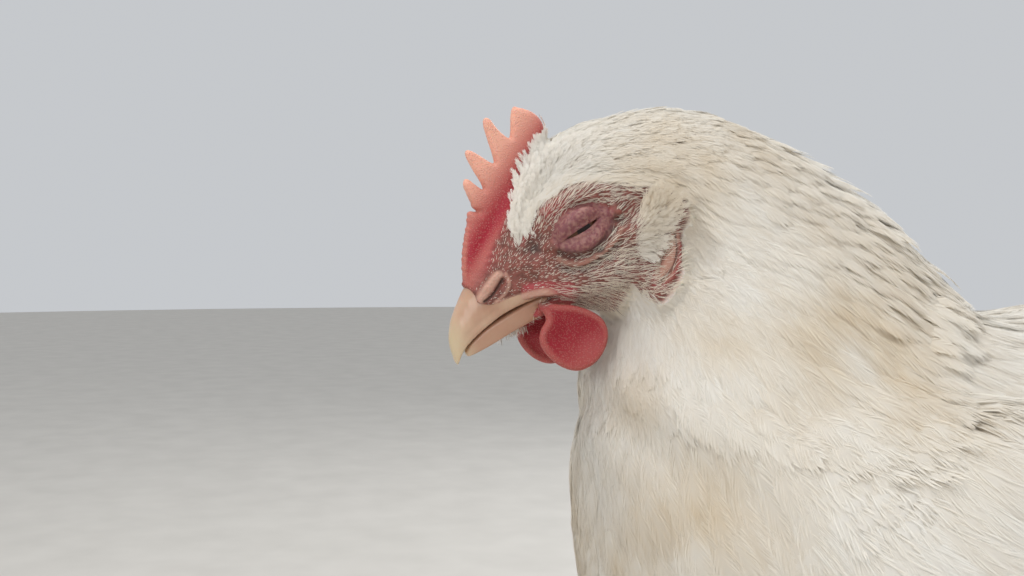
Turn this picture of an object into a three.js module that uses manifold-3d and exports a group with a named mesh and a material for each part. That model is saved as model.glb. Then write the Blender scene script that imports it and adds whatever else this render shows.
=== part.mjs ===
// A white laying hen at rest, life size, feathers included.
// Millimetres, +Z up. The beak points towards -Y and the left side towards +X.
// The origin is on the floor, under the middle of the bird's bounding box.
// Shapes are written in bird space: x to the left, forward, up. Its zero is on the floor under the hips.
import * as THREE from "three";
import { LoftGeometry } from "three/addons/geometries/LoftGeometry.js";
import { mergeVertices } from "three/addons/utils/BufferGeometryUtils.js";
import Module from "manifold-3d";

const wasm = await Module();
wasm.setup();

// ---------------------------------------------------------------- driving dimensions
const GAP = 0.35; // clearance between neighbouring pieces
const SIDES = { left: 1, right: -1 };
const EYE = { forward: 106.6, up: 305, side: 9.2, radius: 6.6 }; // eyeball centre and radius
const LIDS = { place: [-0.6, -0.5], side: 11.9, half: [7, 6.2, 5], lean: 20 };
const SLIT = { length: 10.6, height: 0.9, up: -0.3 };
const HEAD_PITCH = 30; // degrees that the beak points below level
const FOOT = { side: 41, forward: -28 }; // middle of the ball of the foot, under the bird's weight
const HOCK = { side: 43, forward: -38, up: 98 };
const TOES = {
  middle: { turn: 3, length: 56, thick: 4.8 },
  inner: { turn: -34, length: 41, thick: 4.3 },
  outer: { turn: 40, length: 45, thick: 4.3 },
  hind: { turn: 172, length: 19, thick: 3.7 },
};
const CLAW = { length: 12.5, radius: 2.5, droop: 3.4 };
const COMB = { base: 2.7, tip: 1.25, bevel: 0.9 }; // half thicknesses, and the round of its edge
const WATTLE = { side: 8.8, forward: 107, up: 278.6, half: [1.7, 8.1, 8.4], splay: 9 };
const WING_THICKNESS = 9;

// ---------------------------------------------------------------- outlines
// Trunk: [forward, belly, back, half width, share of the height where it is widest]
const TRUNK = [
  [98.5, 229, 253, 8, 0.5],
  [96, 208, 262, 24, 0.5],
  [89, 182, 270, 42, 0.5],
  [77, 156, 277, 58, 0.5],
  [58, 135, 282, 71, 0.5],
  [28, 118, 285, 79, 0.48],
  [-10, 111, 284, 81, 0.47],
  [-50, 116, 285.5, 78, 0.46],
  [-90, 134, 291, 68, 0.46],
  [-124, 162, 298, 53, 0.48],
  [-150, 194, 301, 36, 0.52],
  [-166, 226, 292, 17, 0.55],
];
// Head and neck as one form, face to shoulders: [low forward, low up, high forward, high up, half width,
// share of the way up where it is widest, droop of its sides].
// The head's rows are in its own axes, which start between the eyes and run along the beak.
const HEAD_ROWS = [
  [24, -8.6, 28.6, 0, 4.2, 0.5, 0],
  [18, -11.6, 23.5, 5, 7, 0.5, 0],
  [12, -15.4, 15, 10.5, 10, 0.5, 0],
  [6.5, -19.4, 6, 15.8, 12.6, 0.54, 0],
  [3.5, -21.6, -5, 20.3, 14.4, 0.54, 0],
  [2, -23.4, -17, 21.2, 17, 0.55, 0],
  [1.5, -26, -32, 17.2, 19, 0.57, 0],
];
const NECK_ROWS = [
  [96.5, 278.5, 70.5, 336.5, 22.5, 0.57, 0],
  [96.5, 275.5, 49, 330, 29, 0.52, 4],
  [97.5, 272, 29, 318.5, 39, 0.46, 9],
  [98.5, 269, 10, 303.5, 50, 0.42, 15],
  [98, 265, -4, 289, 59, 0.42, 20],
  [95, 257, 0, 274, 61, 0.42, 21],
  [84, 246, 8, 256, 48, 0.45, 14],
];
// The thin cut between head and neck, seen from the side
const NECK_CUT = { from: [98.8, 276.5], to: [58, 342] };
// Tail: [forward, up] of the middle, half height and half width across it
const TAIL = [
  [-95, 250, 28, 38],
  [-125, 261, 33, 34],
  [-155, 273, 37, 25],
  [-185, 287, 41, 17],
  [-212, 300, 43, 11],
  [-232, 310, 39, 7],
  [-244, 316, 29, 5],
  [-250, 319, 14, 3],
];
const TAIL_RISE = 24; // degrees
// Comb in the head's own axes: points and valleys from the beak up and over to the blade at the back
const COMB_OUTLINE = [
  [29.4, 1.2],
  [28.6, 4],
  [26.9, 6.8],
  [24.4, 10.4],
  [21.4, 14],
  [19.4, 16],
  [17.6, 17.6],
  [17.7, 20.6],
  [16.9, 23.3],
  [15.4, 23.5],
  [14.2, 21.4],
  [13.1, 19.6],
  [12.9, 24.2],
  [12.8, 28.2],
  [11.5, 29.3],
  [10, 27.7],
  [7.5, 23.7],
  [6.2, 28.2],
  [5, 33],
  [3.5, 34.5],
  [1.8, 33],
  [1, 27.2],
  [-1.4, 29.4],
  [-2.9, 32.4],
  [-4.4, 32.8],
  [-5.6, 30.6],
  [-7.4, 28],
  [-7.4, 24.4],
  [-6, 20],
  [-4, 15],
  [8, 8],
  [20, 1],
];
// Beak: [low, high, half width] at each distance forward, in the head's own axes
const UPPER_BEAK = [
  [14, -11.6, -3, 7.4],
  [20, -10.9, -0.6, 7],
  [25, -10.5, 0.9, 6.2],
  [29, -10.5, 0.7, 5.4],
  [33, -11, -1.9, 4.3],
  [36.4, -12.2, -4.7, 3.2],
  [38.8, -13.8, -7.8, 2.2],
  [40.1, -15.2, -10.8, 1.3],
  [40.6, -16, -13.6, 0.6],
];
const LOWER_BEAK = [
  [9, -15.6, -11.6, 6.6],
  [17, -14.9, -11.2, 6],
  [25, -14.7, -10.9, 4.9],
  [31, -14.9, -11.2, 3.7],
  [35.5, -14.9, -12.6, 2.2],
  [37.2, -14.8, -13.9, 1],
];
// Wing: [station on the trunk, lowest angle, highest angle, share of the full thickness]
const WING = [
  [3.62, -10, 20, 0.3],
  [3.85, -19, 30, 0.62],
  [4.3, -27, 37, 0.88],
  [5, -31, 43, 1],
  [6, -31, 47, 1],
  [7, -24, 52, 0.9],
  [8, -12, 57, 0.75],
  [9, 4, 62, 0.6],
  [10, 22, 64, 0.42],
  [10.5, 34, 58, 0.25],
];
// Flight feathers below the wing's back edge: [side, forward, up, half height, half thickness]
const PRIMARIES = [
  [70, -40, 182, 7, 4],
  [69, -72, 195, 15, 5.5],
  [60, -108, 213, 17, 5.5],
  [46, -140, 231, 15, 4.5],
  [33, -166, 248, 10, 3],
  [25, -184, 260, 5, 1.8],
  [22, -191, 265, 2, 1.1],
];
// Feathered thigh: [side, forward, up, half width, half length]
const THIGH = [
  [46, -22, 172, 20, 36],
  [49, -24, 152, 25, 41],
  [49, -28, 132, 23.5, 35],
  [46.5, -32, 115, 17.5, 24],
  [44, -36, 102, 10.5, 13.5],
  [43, -38, 94, 7.6, 8.6],
];

// ---------------------------------------------------------------- helpers
const bird = (x, forward, up) => new THREE.Vector3(x, -forward, up);

// A point given in the head's own axes, in bird space.
function inHead(x, forward, up) {
  const pitch = THREE.MathUtils.degToRad(HEAD_PITCH);
  return bird(
    x,
    EYE.forward + forward * Math.cos(pitch) + up * Math.sin(pitch),
    EYE.up - forward * Math.sin(pitch) + up * Math.cos(pitch),
  );
}

// A smooth function through the rows of a table, by row number.
function through(rows) {
  const width = rows[0].length;
  const curve = new THREE.CubicInterpolant(
    Float32Array.from(rows, (row, i) => i),
    Float32Array.from(rows.flat()),
    width,
    new Float32Array(width),
  );
  return (t) => Array.from(curve.evaluate(t));
}

const steps = (from, to, count) =>
  Array.from({ length: count + 1 }, (_, i) => THREE.MathUtils.lerp(from, to, i / count));

// An egg-shaped ring between a low and a high point, widest at a share of the way up, its sides drooping.
function ring(low, high, half, widest, count, droop = 0) {
  const middle = low.clone().lerp(high, widest);
  return steps(0, 1 - 1 / count, count - 1).map((share) => {
    const angle = share * 2 * Math.PI;
    const rise = Math.sin(angle);
    const reach = rise > 0 ? high.clone().sub(middle) : middle.clone().sub(low);
    const aside = Math.cos(angle);
    return middle.clone().addScaledVector(reach, rise).add(bird(half * aside, 0, -droop * aside ** 2));
  });
}

// The same ring made larger all round.
function grownRing(low, high, half, widest, count, grow, droop = 0) {
  const outwards = high.clone().sub(low).setLength(grow);
  return ring(low.clone().sub(outwards), high.clone().add(outwards), half + grow, widest, count, droop);
}

// Twice the area of a closed ring, as a vector out of the side it runs counterclockwise on.
function facing(points) {
  const sum = new THREE.Vector3();
  points.forEach((point, i) => sum.add(point.clone().cross(points[(i + 1) % points.length])));
  return sum;
}

const centre = (points) =>
  points.reduce((sum, point) => sum.add(point), new THREE.Vector3()).divideScalar(points.length);

// A closed skin over a row of rings, whichever way the rings run.
function loft(sections) {
  const along = centre(sections[1]).sub(centre(sections[0]));
  const rings = facing(sections[0]).dot(along) > 0 ? sections : sections.map((ring) => ring.toReversed());
  return new LoftGeometry(rings, { capStart: true, capEnd: true });
}

function solid(geometry) {
  geometry.deleteAttribute("normal");
  geometry.deleteAttribute("uv");
  const merged = mergeVertices(geometry, 1e-3);
  const triVerts = new Uint32Array(merged.index.array);
  const vertProperties = new Float32Array(merged.attributes.position.array);
  return new wasm.Manifold(new wasm.Mesh({ numProp: 3, vertProperties, triVerts }));
}

// What is left of a solid once its neighbours are taken out of it: the largest body.
function without(whole, ...neighbours) {
  const left = neighbours.reduce((rest, neighbour) => rest.subtract(neighbour), whole);
  return left.decompose().reduce((best, body) => (body.volume() > best.volume() ? body : best));
}

const hen = new THREE.Group();

function add(name, body, material) {
  const { vertProperties, triVerts } = body.getMesh();
  const geometry = new THREE.BufferGeometry()
    .setAttribute("position", new THREE.BufferAttribute(new Float32Array(vertProperties), 3))
    .setIndex(new THREE.BufferAttribute(new Uint32Array(triVerts), 1));
  const mesh = new THREE.Mesh(geometry, material);
  mesh.name = name;
  hen.add(mesh);
}

// ---------------------------------------------------------------- materials
const finish = (color, roughness) => new THREE.MeshStandardMaterial({ color, roughness, metalness: 0 });
const PLUMAGE = finish(0xe9e1cc, 0.85);
const FACE = finish(0xb8776c, 0.6);
const COMB_FLESH = finish(0xc63b42, 0.5);
const LOBE = finish(0xd9a293, 0.6);
const HORN = finish(0xd9b79a, 0.4);
const EYEBALL = finish(0x6b3a1e, 0.15);
const SCALE = finish(0xd8b877, 0.55);
const CLAW_HORN = finish(0xcdb592, 0.45);

// ---------------------------------------------------------------- trunk, neck, head
const TRUNK_SIDES = 20;
const trunkAt = through(TRUNK);

function trunkRing(t, grow) {
  const [forward, belly, back, half, widest] = trunkAt(t);
  return grownRing(bird(0, forward, belly), bird(0, forward, back), half, widest, TRUNK_SIDES, grow);
}

function trunkShape(grow = 0) {
  const sections = steps(0, TRUNK.length - 1, 16).map((t) => trunkRing(t, grow));
  const ends = sections.length - 1;
  sections[0].forEach((point) => (point.y -= grow));
  sections[ends].forEach((point) => (point.y += grow));
  return solid(loft(sections));
}

const headNeckAt = through([
  ...HEAD_ROWS.map(([lowForward, lowUp, highForward, highUp, ...rest]) => {
    const low = inHead(0, lowForward, lowUp);
    const high = inHead(0, highForward, highUp);
    return [-low.y, low.z, -high.y, high.z, ...rest];
  }),
  ...NECK_ROWS,
]);

function headNeckShape(grow = 0) {
  const last = HEAD_ROWS.length + NECK_ROWS.length - 1;
  const sections = steps(0, last, 20).map((t) => {
    const [lowForward, lowUp, highForward, highUp, half, widest, droop] = headNeckAt(t);
    const [low, high] = [bird(0, lowForward, lowUp), bird(0, highForward, highUp)];
    return grownRing(low, high, half, widest, 20, grow, droop);
  });
  return solid(loft(sections));
}

// A thin upright sheet seen from the side as the line of the cut, wide enough to part the neck.
function cutSheet({ from, to }) {
  const start = bird(0, ...from);
  const line = bird(0, ...to).sub(start);
  const sheet = new THREE.BoxGeometry(160, GAP, line.length());
  sheet.rotateX(Math.atan2(-line.y, line.z));
  const middle = start.addScaledVector(line, 0.5);
  return solid(sheet.translate(middle.x, middle.y, middle.z));
}

const trunk = trunkShape();
const grownTrunk = trunkShape(GAP);
const headNeck = without(headNeckShape(), grownTrunk);
const [neck, headWhole] = headNeck
  .subtract(cutSheet(NECK_CUT))
  .decompose()
  .sort((a, b) => b.volume() - a.volume());
const grownHeadNeck = headNeckShape(GAP);

// ---------------------------------------------------------------- eyes
function eyeBall(side, grow = 0) {
  const ball = new THREE.SphereGeometry(EYE.radius + grow, 12, 8);
  const middle = inHead(side * EYE.side, 0, 0);
  return solid(ball.translate(middle.x, middle.y, middle.z));
}
const head = without(headWhole, eyeBall(1, GAP), eyeBall(-1, GAP));

// Swollen lids around the ball, almost shut: a low mound with a slit along the head.
function lids(side, grow = 0) {
  const mound = earPiece(LIDS, side, grow);
  const slit = new THREE.BoxGeometry(30, SLIT.length, SLIT.height);
  slit.rotateX(THREE.MathUtils.degToRad(HEAD_PITCH));
  const middle = inHead(side * LIDS.side, LIDS.place[0], SLIT.up);
  return grow ? mound : mound.subtract(solid(slit.translate(middle.x, middle.y, middle.z)));
}

// ---------------------------------------------------------------- beak
function beakShape(rows, grow = 0) {
  const at = through(rows);
  const sections = steps(0, rows.length - 1, 8).map((t) => {
    const [forward, low, high, half] = at(t);
    return grownRing(inHead(0, forward, low), inHead(0, forward, high), half, 0.42, 10, grow);
  });
  return solid(loft(sections));
}
const upperBeak = without(beakShape(UPPER_BEAK), grownHeadNeck);
const grownUpperBeak = beakShape(UPPER_BEAK, GAP);
const lowerBeak = without(beakShape(LOWER_BEAK), grownHeadNeck, grownUpperBeak);

// ---------------------------------------------------------------- comb and wattles
function combShape() {
  const outline = new THREE.Shape();
  outline.setFromPoints(COMB_OUTLINE.map(([forward, up]) => new THREE.Vector2(forward, up)));
  const blade = new THREE.ExtrudeGeometry(outline, {
    depth: 2 * (COMB.base - COMB.bevel),
    bevelThickness: COMB.bevel,
    bevelSize: COMB.bevel,
    bevelOffset: -COMB.bevel,
    bevelSegments: 1,
  });
  blade.translate(0, 0, COMB.bevel - COMB.base);
  const place = blade.attributes.position;
  for (let i = 0; i < place.count; i += 1) {
    const thinning = THREE.MathUtils.smoothstep(place.getX(i) * 0.45 + place.getY(i), 14, 34);
    const across = (-place.getZ(i) / COMB.base) * THREE.MathUtils.lerp(COMB.base, COMB.tip, thinning);
    place.setXYZ(i, ...inHead(across, place.getX(i), place.getY(i)));
  }
  return solid(blade);
}

function wattleShape(side) {
  const lobe = new THREE.SphereGeometry(1, 12, 8);
  lobe.scale(...WATTLE.half);
  lobe.rotateY(THREE.MathUtils.degToRad(-side * WATTLE.splay));
  const middle = bird(side * WATTLE.side, WATTLE.forward, WATTLE.up);
  return solid(lobe.translate(middle.x, middle.y, middle.z));
}

// ---------------------------------------------------------------- ear tufts and lobes
const EAR_TUFT = { place: [-15.8, -7.6], side: 18.4, half: [6.8, 5.9, 4], lean: -62 };
const EAR_LOBE = { place: [-12.4, -17.4], side: 20.2, half: [2.4, 8, 2.6], lean: -46 };

function earPiece(piece, side, grow = 0) {
  const lump = new THREE.SphereGeometry(1, 12, 8);
  const [length, height, thick] = piece.half;
  lump.scale(thick + grow, length + grow, height + grow);
  lump.rotateX(THREE.MathUtils.degToRad(piece.lean + HEAD_PITCH));
  const middle = inHead(side * piece.side, ...piece.place);
  return solid(lump.translate(middle.x, middle.y, middle.z));
}

// ---------------------------------------------------------------- wings and flight feathers
function wingShape(side, grow = 0) {
  const at = through(WING);
  const across = 7;
  const sections = steps(0, WING.length - 1, 11).map((row) => {
    const [station, lowest, highest, share] = at(row);
    const [forward, belly, back, half, widest] = trunkAt(station);
    const middle = bird(0, forward, belly).lerp(bird(0, forward, back), widest);
    const onTrunk = (degrees, lift) => {
      const angle = THREE.MathUtils.degToRad(degrees);
      const reach = Math.sin(angle) > 0 ? back - middle.z : middle.z - belly;
      return bird(
        side * (half + lift) * Math.cos(angle),
        forward,
        middle.z + (reach + lift) * Math.sin(angle),
      );
    };
    const spread = steps(lowest - grow, highest + grow, across);
    const outer = spread.map((degrees, i) => {
      const crown = Math.sin((Math.PI * (i + 0.6)) / (across + 1.2)) ** 0.6;
      return onTrunk(degrees, GAP + 0.6 + grow + WING_THICKNESS * share * crown);
    });
    const inner = spread.map((degrees) => onTrunk(degrees, -3)).reverse();
    return [...outer, ...inner];
  });
  return solid(loft(sections));
}

function primariesShape(side) {
  const at = through(PRIMARIES);
  const sections = steps(0, PRIMARIES.length - 1, 7).map((row) => {
    const [x, forward, up, half, thick] = at(row);
    const cut = ring(bird(0, forward, up - half), bird(0, forward, up + half), thick, 0.5, 8);
    return cut.map((point) => point.add(bird(side * x, 0, 0)));
  });
  return solid(loft(sections));
}

// ---------------------------------------------------------------- tail
function tailShape(grow = 0) {
  const at = through(TAIL);
  const rise = THREE.MathUtils.degToRad(TAIL_RISE);
  const sections = steps(0, TAIL.length - 1, 9).map((row) => {
    const [forward, up, half, width] = at(row);
    const over = { forward: half * Math.sin(rise), up: half * Math.cos(rise) };
    const low = bird(0, forward - over.forward, up - over.up);
    const high = bird(0, forward + over.forward, up + over.up);
    return grownRing(low, high, width, 0.36, 12, grow);
  });
  return solid(loft(sections));
}

// ---------------------------------------------------------------- legs and feet
const LIMB_SIDES = 10;
const TOE_SIDES = 6;
const FLOOR = solid(new THREE.BoxGeometry(600, 900, 40).translate(0, 0, -20));

// A limb through rows of [side, forward, up, half width, half length], cut level at each row.
function limbShape(rows, side, grow = 0) {
  const at = through(rows);
  const sections = steps(0, rows.length - 1, 7).map((row) => {
    const [x, forward, up, half, length] = at(row);
    const [back, front] = [forward - length - grow, forward + length + grow];
    const cut = ring(bird(0, back, up), bird(0, front, up), half + grow, 0.5, LIMB_SIDES);
    return cut.map((point) => point.add(bird(side * x, 0, 0)));
  });
  sections.at(0).forEach((point) => (point.z += grow));
  sections.at(-1).forEach((point) => (point.z -= grow));
  return solid(loft(sections));
}

const BALL = { radius: 8.2, height: 11 }; // the ball of the foot, a low dome on a flat pad
const SHANK = [
  [HOCK.side, HOCK.forward, HOCK.up, 5.6, 6.4],
  [HOCK.side, HOCK.forward + 0.5, HOCK.up - 8, 6.3, 7.6],
  [HOCK.side - 0.4, HOCK.forward + 2.4, HOCK.up - 24, 4.6, 5.6],
  [HOCK.side - 1, HOCK.forward + 5, HOCK.up - 52, 4.5, 5.4],
  [FOOT.side, FOOT.forward - 1.4, 19, 5, 5.9],
  [FOOT.side, FOOT.forward, 6, 6.2, 6.6],
];

function ballShape(side, grow = 0) {
  const dome = new THREE.SphereGeometry(1, 12, 8);
  dome.scale(BALL.radius + grow, BALL.radius + grow, BALL.height + grow);
  const middle = bird(side * FOOT.side, FOOT.forward, 0);
  return solid(dome.translate(middle.x, middle.y, middle.z));
}

// The way from the middle of the foot out along a toe: a matrix from toe axes (across, -along, up).
function toePlace(toe, side) {
  const turn = THREE.MathUtils.degToRad(toe.turn * side);
  return new THREE.Matrix4()
    .makeTranslation(bird(side * FOOT.side, FOOT.forward, 0))
    .multiply(new THREE.Matrix4().makeRotationZ(turn));
}

// A toe of padded joints on the floor, thinner towards the claw.
function toeShape(toe, side, grow = 0) {
  const joints = toe.length < 30 ? 2 : 3;
  const sections = steps(0, 1, 8).map((share) => {
    const pad = 0.1 * Math.cos(2 * Math.PI * joints * share);
    const thick = toe.thick * (1.06 - 0.3 * share - pad) * (share === 1 ? 0.72 : 1) + grow;
    const height = thick * 1.75 + 1.2 * (1 - share);
    const along = share * toe.length;
    return ring(bird(0, along, height - 2 * thick), bird(0, along, height), thick, 0.5, TOE_SIDES);
  });
  return solid(loft(sections).applyMatrix4(toePlace(toe, side)));
}

// A claw that curves down to the floor from the end of its toe.
function clawShape(toe, side) {
  const size = toe.thick / TOES.middle.thick;
  const sections = steps(0, 1, 4).map((share) => {
    const along = toe.length - 2 + share * CLAW.length * size;
    const radius = CLAW.radius * size * Math.sqrt(1 - share * 0.97);
    const up = 3.9 * size - CLAW.droop * size * share * share;
    return ring(bird(0, along, up - radius), bird(0, along, up + radius), radius * 0.8, 0.5, 6);
  });
  return solid(loft(sections).applyMatrix4(toePlace(toe, side)));
}

// ---------------------------------------------------------------- the bird
add("trunk", trunk, PLUMAGE);
add("neck", neck, PLUMAGE);
add("head", head, FACE);
add("comb", without(combShape(), grownHeadNeck, grownUpperBeak), COMB_FLESH);
add("beak_upper", upperBeak, HORN);
add("beak_lower", lowerBeak, HORN);
const grownWings = [wingShape(SIDES.left, GAP), wingShape(SIDES.right, GAP)];
add("tail", without(tailShape(), grownTrunk, ...grownWings), PLUMAGE);

for (const [name, side] of Object.entries(SIDES)) {
  const grownBeak = [grownUpperBeak, beakShape(LOWER_BEAK, GAP)];
  const grownTuft = earPiece(EAR_TUFT, side, GAP);
  add(`eye_${name}`, eyeBall(side), EYEBALL);
  add(`eyelids_${name}`, without(lids(side), grownHeadNeck, eyeBall(side, GAP)), FACE);
  add(`ear_tuft_${name}`, without(earPiece(EAR_TUFT, side), grownHeadNeck), PLUMAGE);
  add(`ear_lobe_${name}`, without(earPiece(EAR_LOBE, side), grownHeadNeck, grownTuft), LOBE);
  add(`wattle_${name}`, without(wattleShape(side), grownHeadNeck, ...grownBeak), COMB_FLESH);

  const grownWing = wingShape(side, GAP);
  const grownShank = limbShape(SHANK, side, GAP);
  const grownBall = ballShape(side, GAP);
  const primaries = without(primariesShape(side), grownTrunk, grownWing, tailShape(GAP));
  add(`wing_${name}`, without(wingShape(side), grownTrunk, grownHeadNeck), PLUMAGE);
  add(`primaries_${name}`, primaries, PLUMAGE);
  add(`thigh_${name}`, without(limbShape(THIGH, side), grownTrunk, grownWing, grownShank), PLUMAGE);
  add(`shank_${name}`, without(limbShape(SHANK, side), grownBall), SCALE);
  add(`foot_${name}`, without(ballShape(side), FLOOR), SCALE);

  const inTheWay = [FLOOR, grownBall, grownShank];
  for (const [toeName, toe] of Object.entries(TOES)) {
    const claw = without(clawShape(toe, side), FLOOR, toeShape(toe, side, GAP));
    add(`toe_${toeName}_${name}`, without(toeShape(toe, side), ...inTheWay), SCALE);
    add(`claw_${toeName}_${name}`, claw, CLAW_HORN);
    inTheWay.push(toeShape(toe, side, GAP));
  }
}

// The origin goes to the floor under the middle of the bounding box.
const box = new THREE.Box3().setFromObject(hen);
const middle = box.getCenter(new THREE.Vector3());
hen.position.set(-middle.x, -middle.y, -box.min.z);

export default hen;
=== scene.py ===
"""A white laying hen at rest, life size: skin, feathers, bill, eyes, legs and claws.

Lengths are millimetres until a mesh is made, and metres in Blender. The axes are the frame's:
x to the bird's left, y backwards, z up. The head has axes of its own: aside, forward along the
bill and up, from the point between the eyes.
"""

import logging
import math
from collections.abc import Callable, Sequence
from dataclasses import dataclass, field
from enum import Enum
from typing import ClassVar

import bpy
import numpy as np
import openvdb
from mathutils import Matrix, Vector

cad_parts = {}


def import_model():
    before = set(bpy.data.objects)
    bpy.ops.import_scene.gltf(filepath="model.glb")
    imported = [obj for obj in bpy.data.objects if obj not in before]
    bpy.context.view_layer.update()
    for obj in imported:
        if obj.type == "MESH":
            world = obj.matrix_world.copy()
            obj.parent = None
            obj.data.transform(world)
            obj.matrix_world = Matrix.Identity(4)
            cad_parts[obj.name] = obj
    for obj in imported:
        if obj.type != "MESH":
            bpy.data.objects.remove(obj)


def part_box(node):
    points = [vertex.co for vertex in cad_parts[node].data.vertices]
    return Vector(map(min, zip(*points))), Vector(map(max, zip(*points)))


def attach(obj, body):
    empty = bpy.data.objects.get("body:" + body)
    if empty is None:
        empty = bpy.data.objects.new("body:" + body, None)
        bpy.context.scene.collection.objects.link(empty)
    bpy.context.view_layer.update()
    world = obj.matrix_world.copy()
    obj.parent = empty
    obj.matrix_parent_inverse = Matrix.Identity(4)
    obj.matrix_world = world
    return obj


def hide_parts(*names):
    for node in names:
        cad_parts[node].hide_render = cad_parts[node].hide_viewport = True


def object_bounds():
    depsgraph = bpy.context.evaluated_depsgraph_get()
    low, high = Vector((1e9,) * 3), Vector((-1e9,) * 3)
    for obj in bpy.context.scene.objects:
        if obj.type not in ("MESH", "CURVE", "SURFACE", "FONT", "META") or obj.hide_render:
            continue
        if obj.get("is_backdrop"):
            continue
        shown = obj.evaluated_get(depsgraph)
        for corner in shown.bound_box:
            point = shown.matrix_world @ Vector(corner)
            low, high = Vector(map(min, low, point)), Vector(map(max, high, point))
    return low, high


Array = np.ndarray
Path = Sequence[Sequence[float]]
Socket = bpy.types.NodeSocket

MM = 0.001  # a millimetre in metres
BODY = "root"
SIDES = {"left": 1.0, "right": -1.0}
MIDDLE = -60.05  # y of the place that is 0 forward on the bird
MAP_NAME = "OFBake"
PATCH = 0.003  # width of a tuft's patch on its map
log = logging.getLogger("hen")


# ---------------------------------------------------------------- numbers
def unit(rows: Array) -> Array:
    """Returns the rows at length 1."""
    return rows / np.maximum(np.linalg.norm(rows, axis=-1, keepdims=True), 1e-9)


def ramp(value: Array | float, start: float, end: float) -> Array:
    """Returns 0 before start and 1 after end, with a soft rise between them."""
    share = np.clip((np.asarray(value) - start) / (end - start), 0.0, 1.0)
    return share * share * (3.0 - 2.0 * share)


def join_soft(first: Array, second: Array, width: float) -> Array:
    """Joins two distance fields with a fillet.

    Args:
        first: Signed distances, negative inside.
        second: Signed distances of the other shape.
        width: How wide the fillet is.

    Returns:
        The distances of both shapes together.
    """
    share = np.clip(0.5 + 0.5 * (second - first) / width, 0.0, 1.0)
    return second * (1.0 - share) + first * share - width * share * (1.0 - share)


def cut_soft(shape: Array, tool: Array, width: float) -> Array:
    """Returns the distances of a shape with a tool cut out of it and the edge rounded."""
    return -join_soft(-shape, tool, width)


def chance(cells: Array, seed: int) -> Array:
    """Returns a random number from 0 to 1 for each cell of three whole numbers.

    Args:
        cells: Three whole numbers for each cell.
        seed: Which draw.
    """
    whole = cells.astype(np.int64).astype(np.uint32)
    mixed = whole[..., 0] * np.uint32(73856093)
    mixed = mixed ^ (whole[..., 1] * np.uint32(19349663))
    mixed = mixed ^ (whole[..., 2] * np.uint32(83492791))
    mixed = mixed ^ np.uint32(seed * 2654435761 % 2**32)
    mixed = (mixed ^ (mixed >> np.uint32(13))) * np.uint32(1274126177)
    mixed = mixed ^ (mixed >> np.uint32(16))
    return mixed.astype(np.float32) / np.float32(2**32 - 1)


def cloud(points: Array, size: float, seed: int) -> Array:
    """Smooth noise.

    Args:
        points: Places, in millimetres.
        size: Width of its lumps, in millimetres.
        seed: Which noise.

    Returns:
        A number from -1 to 1 for each place.
    """
    place = points / size
    cell = np.floor(place)
    share = place - cell
    share = share * share * (3.0 - 2.0 * share)
    total = np.zeros(points.shape[:-1])
    for corner in np.ndindex(2, 2, 2):
        weight = np.prod(np.where(np.array(corner) == 1, share, 1.0 - share), axis=-1)
        total += weight * chance(cell + np.array(corner), seed)
    return 2.0 * total - 1.0


def along(rows: Path, count: int) -> Array:
    """Returns a number of rows evenly spaced along a smooth curve through rows of numbers.

    Args:
        rows: Rows of numbers.
        count: How many.
    """
    knots = np.array(rows, float)
    padded = np.vstack([2 * knots[0] - knots[1], knots, 2 * knots[-1] - knots[-2]])
    place = np.linspace(0.0, len(knots) - 1.0, count)
    first = np.clip(np.floor(place).astype(int), 0, len(knots) - 2)
    t = (place - first)[:, None]
    a, b, c, d = (padded[first + i] for i in range(4))
    return b + 0.5 * t * (c - a + t * (2 * a - 5 * b + 4 * c - d + t * (3 * (b - c) + d - a)))


def near_path(points: Array, path: Array) -> tuple[Array, Array]:
    """Finds the nearest place on a line of straight stretches.

    Args:
        points: Places, one a row.
        path: Corners of the line, one a row of as many numbers.

    Returns:
        The distance to the line and the share of its length at the nearest place.
    """
    points, path = points.astype(np.float32), path.astype(np.float32)
    best = np.full(len(points), 1e9, np.float32)
    share = np.zeros(len(points), np.float32)
    lengths = np.linalg.norm(np.diff(path, axis=0), axis=1)
    starts = np.concatenate([[0.0], np.cumsum(lengths)])
    for i, length in enumerate(lengths):
        arm = points - path[i]
        along_way = arm @ ((path[i + 1] - path[i]) / max(length, 1e-9))
        reach = np.clip(along_way, 0.0, length)
        gap = np.einsum("ij,ij->i", arm, arm) + reach * (reach - 2 * along_way)
        closer = gap < best
        best[closer] = gap[closer]
        share[closer] = (starts[i] + reach[closer]) / starts[-1]
    return np.sqrt(np.maximum(best, 0.0)), share


def outline_distance(points: Array, outline: Path) -> Array:
    """Returns the distance of flat points to a closed outline, negative inside it.

    Args:
        points: Places in the frame, in millimetres, one a row.
        outline: Its corners, as forward and up.
    """
    corners = np.array(outline, float)
    gap = near_path(points, np.vstack([corners, corners[:1]]))[0]
    inside = np.zeros(len(points), bool)
    for (x0, y0), (x1, y1) in zip(corners, np.roll(corners, -1, axis=0), strict=True):
        crosses = (y0 > points[:, 1]) != (y1 > points[:, 1])
        rise = (y1 - y0) if abs(y1 - y0) > 1e-9 else 1e-9
        inside ^= crosses & (points[:, 0] < x0 + (points[:, 1] - y0) * (x1 - x0) / rise)
    return np.where(inside, -gap, gap)


def tube_distance(points: Array, line: Array, radius: Array) -> Array:
    """Returns the distance of points to a tube along a line, its radius given at even shares of it."""
    gap, share = near_path(points, line)
    return gap - np.interp(share, np.linspace(0, 1, len(radius)), radius)


def folded(points: Array) -> Array:
    """Returns points of the frame with those of the right side moved over to the left."""
    return np.column_stack([np.abs(points[:, 0]), points[:, 1:]])


def mirrored(rows: Array) -> Array:
    """Returns rows of the left side with their mirror images after them."""
    return np.vstack([rows, rows * [-1, 1, 1]])


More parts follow.
